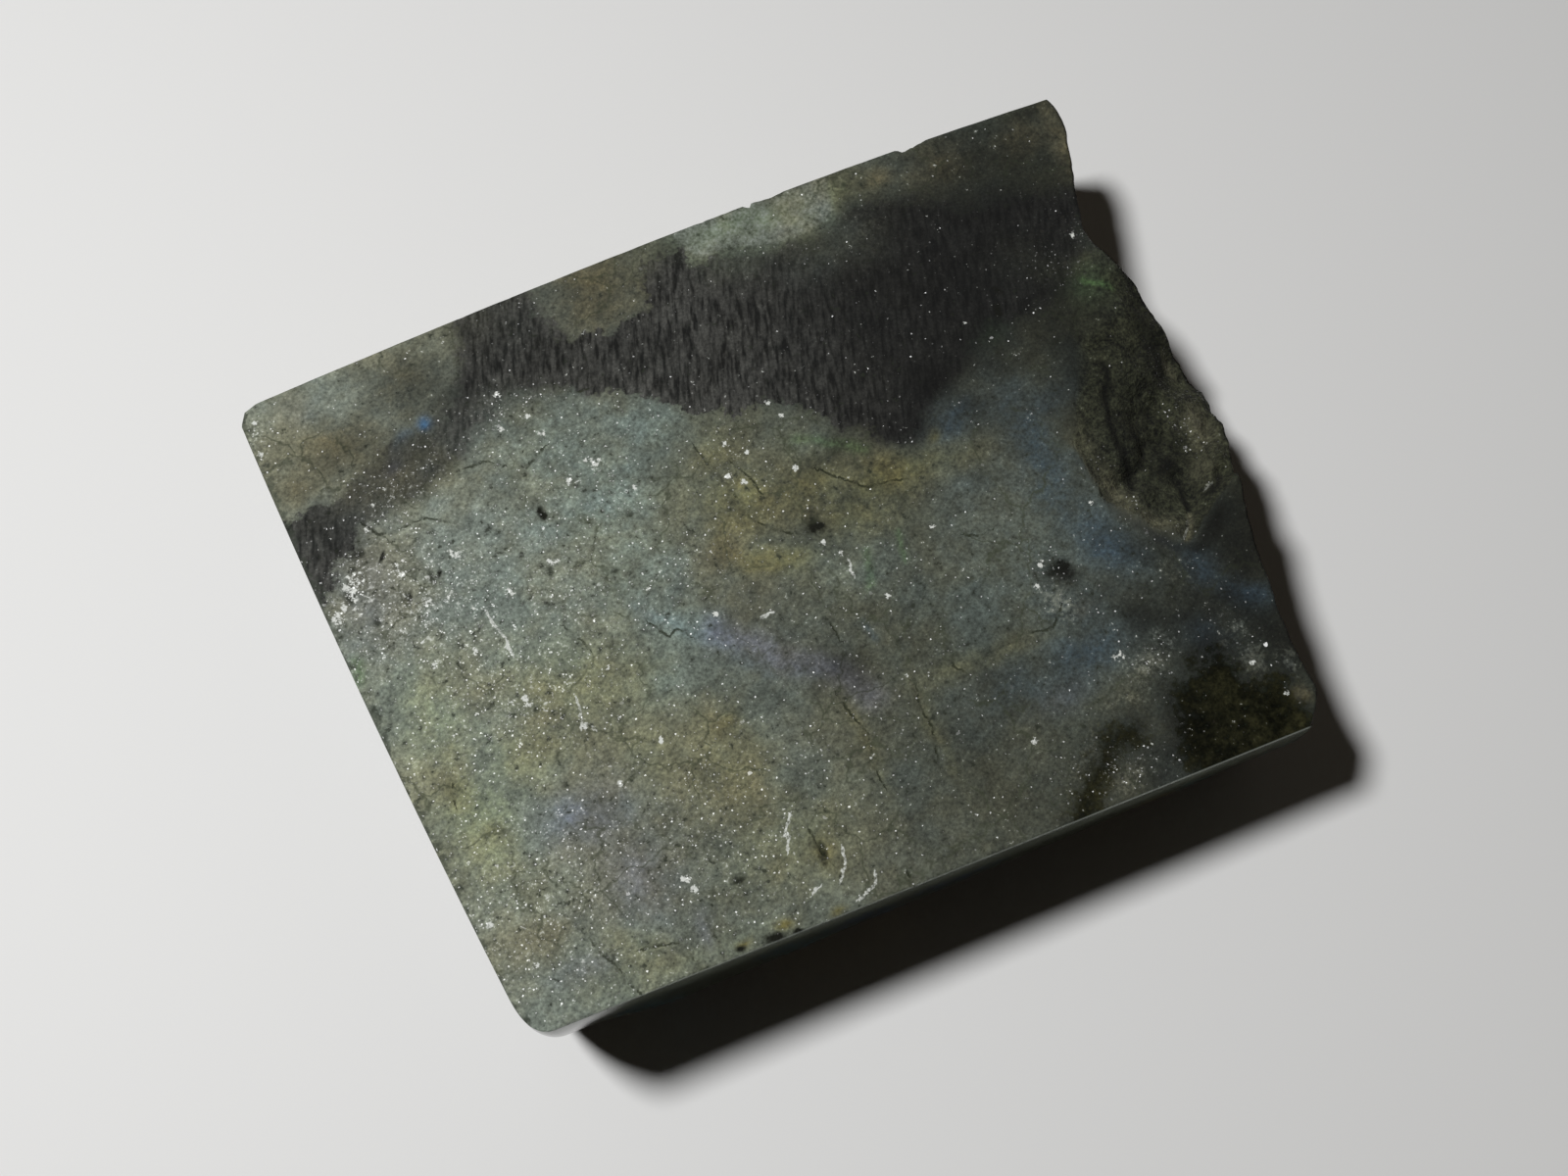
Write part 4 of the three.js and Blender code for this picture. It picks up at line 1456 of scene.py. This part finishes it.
# %% Broken surface and rim lines
rough_heights = add(nodes, "Math", {0: raggedness, 1: pattern["grain"]}, operation="ADD")
fracture_tone = add(nodes, "MapRange", {0: rough_heights, 1: 1.2, 2: 1.8})
fracture_ends = {"Factor": fracture_tone, MIX_A: linear("#0c0e07"), MIX_B: linear("#3a3c2a")}
fracture = add(nodes, "Mix", fracture_ends, out=MIX_OUT, data_type="RGBA")
fracture_share = add(nodes, "MapRange", {0: amount["broken"], 4: 0.8})

# Painted highlight: a fine bright line along the front rim, where its narrow bevel catches light.
front_rim_highlight = add(nodes, "MapRange", {0: amount["front_gap"], 1: 0.03, 2: 0.14, 3: 0.8, 4: 0.0})
front_reach = add(nodes, "MapRange", {0: along, 1: 0.0, 2: 14.0, 3: 0.6, 4: 1.0})
front_rim_highlight = add(nodes, "Math", {0: front_rim_highlight, 1: front_reach}, operation="MULTIPLY")
left_gap = add(nodes, "Math", {0: amount["left_gap"], 1: edge_shift}, operation="ADD")
left_line = add(nodes, "MapRange", {0: left_gap, 1: 0.05, 2: 0.5, 3: 0.6, 4: 0.0})
shelf_dust_and_highlight = add(nodes, "Math", {0: amount["shelf_dust_and_highlight"], 1: patchy}, operation="MULTIPLY", use_clamp=True)
hollow_shade = add(nodes, "Math", {0: amount["hollow_shade"], 1: patchy}, operation="MULTIPLY", use_clamp=True)
# The ledges' pale is dust and painted highlight, the hollows' black is painted shade.
rims = (
    (fracture_share, fracture),
    (shelf_dust_and_highlight, linear("#5c5b48")),
    (hollow_shade, linear("#090a05")),
    (front_rim_highlight, linear("#a3aaa2")),
    (left_line, linear("#3a4036")),
)
for share, tint in rims:
    colour = add(nodes, "Mix", {"Factor": share, MIX_A: colour, MIX_B: tint}, out=MIX_OUT, data_type="RGBA")
crumbs = add(nodes, "MapRange", {0: granular, 1: 0.8, 2: 1.2, 3: -0.4, 4: 0.4})
crumbs = add(nodes, "Math", {0: crumbs, 1: amount["broken"]}, operation="MULTIPLY")
crumbs = add(nodes, "Math", {0: crumbs, 1: 1.0}, operation="ADD")
colour = add(nodes, "VectorMath", {0: colour, "Scale": crumbs}, operation="SCALE")
print(len(rims), "coats finish the broken end and the rims")

# %% [markdown]
# ## The polished flanks
#
# Polish clears the frosted skin away, and the stone turns dark and glassy. Seen from the right
# direction, lamellae about a ten-thousandth of a millimetre thick send back one colour, and a
# whole grain lights up blue, teal or gold: labradorescence. It depends on the angle. A part can't
# hold that, so a quiet flash is drawn as fixed patches of coloured metal under the gloss.

# %% Polished colour and flash
FLASH_SIZE = 13.0
body_ends = {"Factor": lamellae, MIX_A: linear("#15180f"), MIX_B: linear("#30352b")}
body = add(nodes, "Mix", body_ends, out=MIX_OUT, data_type="RGBA")
grains = add(nodes, "TexVoronoi", {"Vector": warped, "Scale": 1 / FLASH_SIZE}, out="Color")
grain_parts = [add(nodes, "SeparateColor", {0: grains}, out=part) for part in ("Red", "Green", "Blue")]
flash = linear("#27486b")
for part, tint in zip(grain_parts, ("#2a6468", "#7d6c3a")):
    chosen = add(nodes, "MapRange", {0: part, 1: 0.5, 2: 0.7})
    feeds = {"Factor": chosen, MIX_A: flash, MIX_B: linear(tint)}
    flash = add(nodes, "Mix", feeds, out=MIX_OUT, data_type="RGBA")
flash_clear = add(nodes, "MapRange", {0: pattern["cloud"], 1: 0.46, 2: 0.62})
flash_start = add(nodes, "MapRange", {0: amount["below"], 1: 1.5, 2: 4.0})
flash_clear = add(nodes, "Math", {0: flash_clear, 1: flash_start}, operation="MULTIPLY")
flash_share = add(nodes, "MapRange", {0: grain_parts[2], 1: 0.35, 2: 0.6})
flash_share = add(nodes, "Math", {0: flash_share, 1: flash_clear}, operation="MULTIPLY")
flash_comb = add(nodes, "MapRange", {0: lamellae, 1: 0.4, 2: 0.6, 3: 0.15, 4: 0.6})
flash_share = add(nodes, "Math", {0: flash_share, 1: flash_comb}, operation="MULTIPLY")
feeds = {"Factor": flash_share, MIX_A: body, MIX_B: flash}
polished = add(nodes, "Mix", feeds, out=MIX_OUT, data_type="RGBA")
# Painted reflection: a pale, streaky strip just below the rim that fades downwards, where the flank mirrors
# the lit table.
lap_lines = streaks(0.0, 5.0, 0.2, 3.0)
rim_reflection = add(nodes, "MapRange", {0: amount["below"], 1: 0.0, 2: 3.4, 3: 0.9, 4: 0.0})
rim_reflection_streaks = add(nodes, "MapRange", {0: lap_lines, 1: 0.35, 2: 0.7, 3: 0.5, 4: 1.0})
rim_reflection = add(nodes, "Math", {0: rim_reflection, 1: rim_reflection_streaks}, operation="MULTIPLY")
feeds = {"Factor": rim_reflection, MIX_A: polished, MIX_B: linear("#7c8474")}
polished = add(nodes, "Mix", feeds, out=MIX_OUT, data_type="RGBA")
feeds = {"Factor": amount["polish"], MIX_A: colour, MIX_B: polished}
colour = add(nodes, "Mix", feeds, out=MIX_OUT, data_type="RGBA")
metal = add(nodes, "Math", {0: flash_share, 1: amount["polish"]}, operation="MULTIPLY")
print("a grain that flashes is about", FLASH_SIZE, "mm wide")

# %% [markdown]
# ## Cleavage glints, relief and finish
#
# The frosted skin is full of tiny cleavage faces that tip every way, and the ones that face
# between the lamp and the eye sparkle. They are a clear coat that is only there on the facets,
# with its own tipped normal, so that the ground colour under them keeps its soft shading. The
# smallest facets are really a few hundredths of a millimetre wide, and are drawn at a tenth.
#
# The skin itself is as dull as chalk. Anything between dull and glossy would lay a grey haze
# over the dark zones, so the mossy corner mixes dull and glossy grains instead of averaging
# them.

# %% Cleavage glints
surface_normal = add(nodes, "NewGeometry", out="Normal")
unpolished = add(nodes, "Math", {0: 1.0, 1: amount["polish"]}, operation="SUBTRACT")


def cleavage(size, chosen_by, tilt):
    """Flat facets of one size: the chosen ones tip their own way by up to the tilt."""
    cells = add(nodes, "TexVoronoi", {"Vector": place, "Scale": 1 / size}, out="Color")
    chance = add(nodes, "TexWhiteNoise", {"Vector": cells.node.outputs["Position"]})
    facet = add(nodes, "Math", {0: chance, 1: chosen_by}, operation="LESS_THAN")
    centred = add(nodes, "VectorMath", {0: cells, 1: (0.5, 0.5, 0.5)}, operation="SUBTRACT")
    tipped = add(nodes, "Math", {0: facet, 1: 2 * tilt}, operation="MULTIPLY")
    return facet, add(nodes, "VectorMath", {0: centred, "Scale": tipped}, operation="SCALE")


crisp = add(nodes, "Math", {0: clear, 1: amount["shade"]}, operation="MAXIMUM")
salt = add(nodes, "MapRange", {0: amount["crushed"], 3: 0.04, 4: 1.0})
salt_thinned = add(nodes, "MapRange", {0: crisp, 3: 1.0, 4: 0.45})
salt = add(nodes, "Math", {0: salt, 1: salt_thinned}, operation="MULTIPLY")
salt = add(nodes, "Math", {0: salt, 1: unpolished}, operation="MULTIPLY")
coarse_salt = add(nodes, "Math", {0: salt, 1: 0.06}, operation="MULTIPLY")
FINE_FACET = 0.1
COARSE_FACET = 0.24
LARGEST_TILT = 0.5
fine_facet, fine_tilt = cleavage(FINE_FACET, salt, LARGEST_TILT)
coarse_facet, coarse_tilt = cleavage(COARSE_FACET, coarse_salt, LARGEST_TILT)
facet_tilt = add(nodes, "VectorMath", {0: fine_tilt, 1: coarse_tilt}, operation="ADD")
glint_normal = add(nodes, "VectorMath", {0: surface_normal, 1: facet_tilt}, operation="ADD")
glint_normal = add(nodes, "VectorMath", {0: glint_normal}, operation="NORMALIZE")
coat = add(nodes, "Math", {0: fine_facet, 1: coarse_facet}, operation="MAXIMUM")
COAT_STRENGTH = 0.85
coat = add(nodes, "Math", {0: coat, 1: COAT_STRENGTH}, operation="MULTIPLY")
print("facets of", FINE_FACET, "and", COARSE_FACET, "mm tip by up to", LARGEST_TILT)

# %% Relief and finish
BUMP_DEPTH = 0.06
BROKEN_IS_ROUGHER = 3.0
rougher = add(nodes, "MapRange", {0: amount["broken"], 3: 1.0, 4: BROKEN_IS_ROUGHER})
heights = add(nodes, "Math", {0: rough_heights, 1: rougher}, operation="MULTIPLY")
heights = add(nodes, "Math", {0: heights, 1: crack}, operation="SUBTRACT")
glassy = add(nodes, "Math", {0: moss, 1: pattern["grain"]}, operation="ADD")
glassy = add(nodes, "MapRange", {0: glassy, 1: 1.0, 2: 1.03})
smooth = add(nodes, "Math", {0: amount["polish"], 1: glassy}, operation="MAXIMUM")
bump_strength = add(nodes, "MapRange", {0: smooth, 3: 1.0, 4: 0.0})
normal = add(
    nodes, "Bump", {"Height": heights, "Distance": BUMP_DEPTH * MM, "Strength": bump_strength}
)
SAWN_ROUGHNESS = 0.95
GLASSY_ROUGHNESS = 0.22
BROKEN_ROUGHNESS = 1.0
POLISHED_ROUGHNESS = 0.12
COAT_ROUGHNESS = 0.3
FELDSPAR_IOR = 1.56
finish_shares = (
    (glassy, GLASSY_ROUGHNESS),
    (amount["broken"], BROKEN_ROUGHNESS),
    (amount["polish"], POLISHED_ROUGHNESS),
)
roughness = SAWN_ROUGHNESS
for share, value in finish_shares:
    roughness = add(nodes, "MapRange", {0: share, 3: roughness, 4: value})
surface = add(
    nodes,
    "BsdfPrincipled",
    {
        "Base Color": colour,
        "Roughness": roughness,
        "Metallic": metal,
        "Normal": normal,
        "IOR": FELDSPAR_IOR,
        "Specular IOR Level": 0.3,
        "Coat Weight": coat,
        "Coat Roughness": COAT_ROUGHNESS,
        "Coat Normal": glint_normal,
    },
)
add(nodes, "OutputMaterial", {"Surface": surface})
mesh.materials.append(material)
print("the stone's material has", len(nodes.nodes), "nodes")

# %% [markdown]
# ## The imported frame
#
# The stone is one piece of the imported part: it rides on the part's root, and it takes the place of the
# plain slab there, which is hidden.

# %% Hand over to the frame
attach(stone, "root")
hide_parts("labradorite_slab")
print(stone.name, "takes the place of the plain slab")

# %% [markdown]
# ## Table, lamp and room
#
# The stone lies on a white table top. One small lamp, above and behind it on the left, throws a
# short, dark shadow to the right and to the front. The room is dim, and a little brighter
# towards the horizon, so that the shadow isn't quite black.

# %% Table top
TABLE_HALF = 1500.0
TABLE_COLOUR = "#e2e2e1"
corners = [(-1, -1, 0), (1, -1, 0), (1, 1, 0), (-1, 1, 0)]
table_mesh = bpy.data.meshes.new("table_top")
table_mesh.from_pydata(np.array(corners) * TABLE_HALF * MM, [], [(0, 1, 2, 3)])
table = bpy.data.objects.new("table_top", table_mesh)
bpy.context.scene.collection.objects.link(table)

laminate = bpy.data.materials.new("white_laminate")
laminate.use_nodes = True
tree = laminate.node_tree
tree.nodes.clear()
top_feeds = {"Base Color": linear(TABLE_COLOUR), "Roughness": 0.6, "Specular IOR Level": 0.3}
add(tree, "OutputMaterial", {"Surface": add(tree, "BsdfPrincipled", top_feeds)})
table_mesh.materials.append(laminate)
print("the table top is", 2 * TABLE_HALF, "mm wide")

# %% Lamp
LAMP_PLACE = (-156.0, 93.0, 384.0)
LAMP_DISK = 74.0
LAMP_WATTS = 1.67
lamp_data = bpy.data.lights.new("small_lamp", "AREA")
lamp_data.shape = "DISK"
lamp_data.size = LAMP_DISK * MM
lamp_data.energy = LAMP_WATTS
lamp = bpy.data.objects.new("small_lamp", lamp_data)
lamp.location = [c * MM for c in LAMP_PLACE]
lamp.rotation_euler = lamp.location.to_track_quat("Z", "Y").to_euler()
bpy.context.scene.collection.objects.link(lamp)
print("the lamp is", round(math.hypot(*LAMP_PLACE)), "mm away")

# %% Room
room = bpy.data.worlds.new("dim_room")
room.use_nodes = True
tree = room.node_tree
tree.nodes.clear()
bpy.context.scene.world = room
direction = add(tree, "TexCoord", out="Generated")
up = add(tree, "SeparateXYZ", {0: direction}, out="Z")
brightness = add(
    tree, "MapRange", {0: up, 1: 0.0, 2: 0.4, 3: 0.12, 4: 0.012}, interpolation_type="SMOOTHSTEP"
)
WINDOW_SIDE = (0.8, 0.6, 0.0)
sideways = add(tree, "VectorMath", {0: direction, 1: WINDOW_SIDE}, out="Value", operation="DOT_PRODUCT")
window_light = add(tree, "MapRange", {0: sideways, 1: -0.2, 2: 0.8, 3: 0.45, 4: 2.8})
brightness = add(tree, "Math", {0: brightness, 1: window_light}, operation="MULTIPLY")
background = add(tree, "Background", {"Color": linear("#ffeed8"), "Strength": brightness})
add(tree, "OutputWorld", {"Surface": background})
bpy.context.scene.view_settings.view_transform = "Standard"
bpy.context.scene.view_settings.look = "None"
print("the room is brightest towards", WINDOW_SIDE)
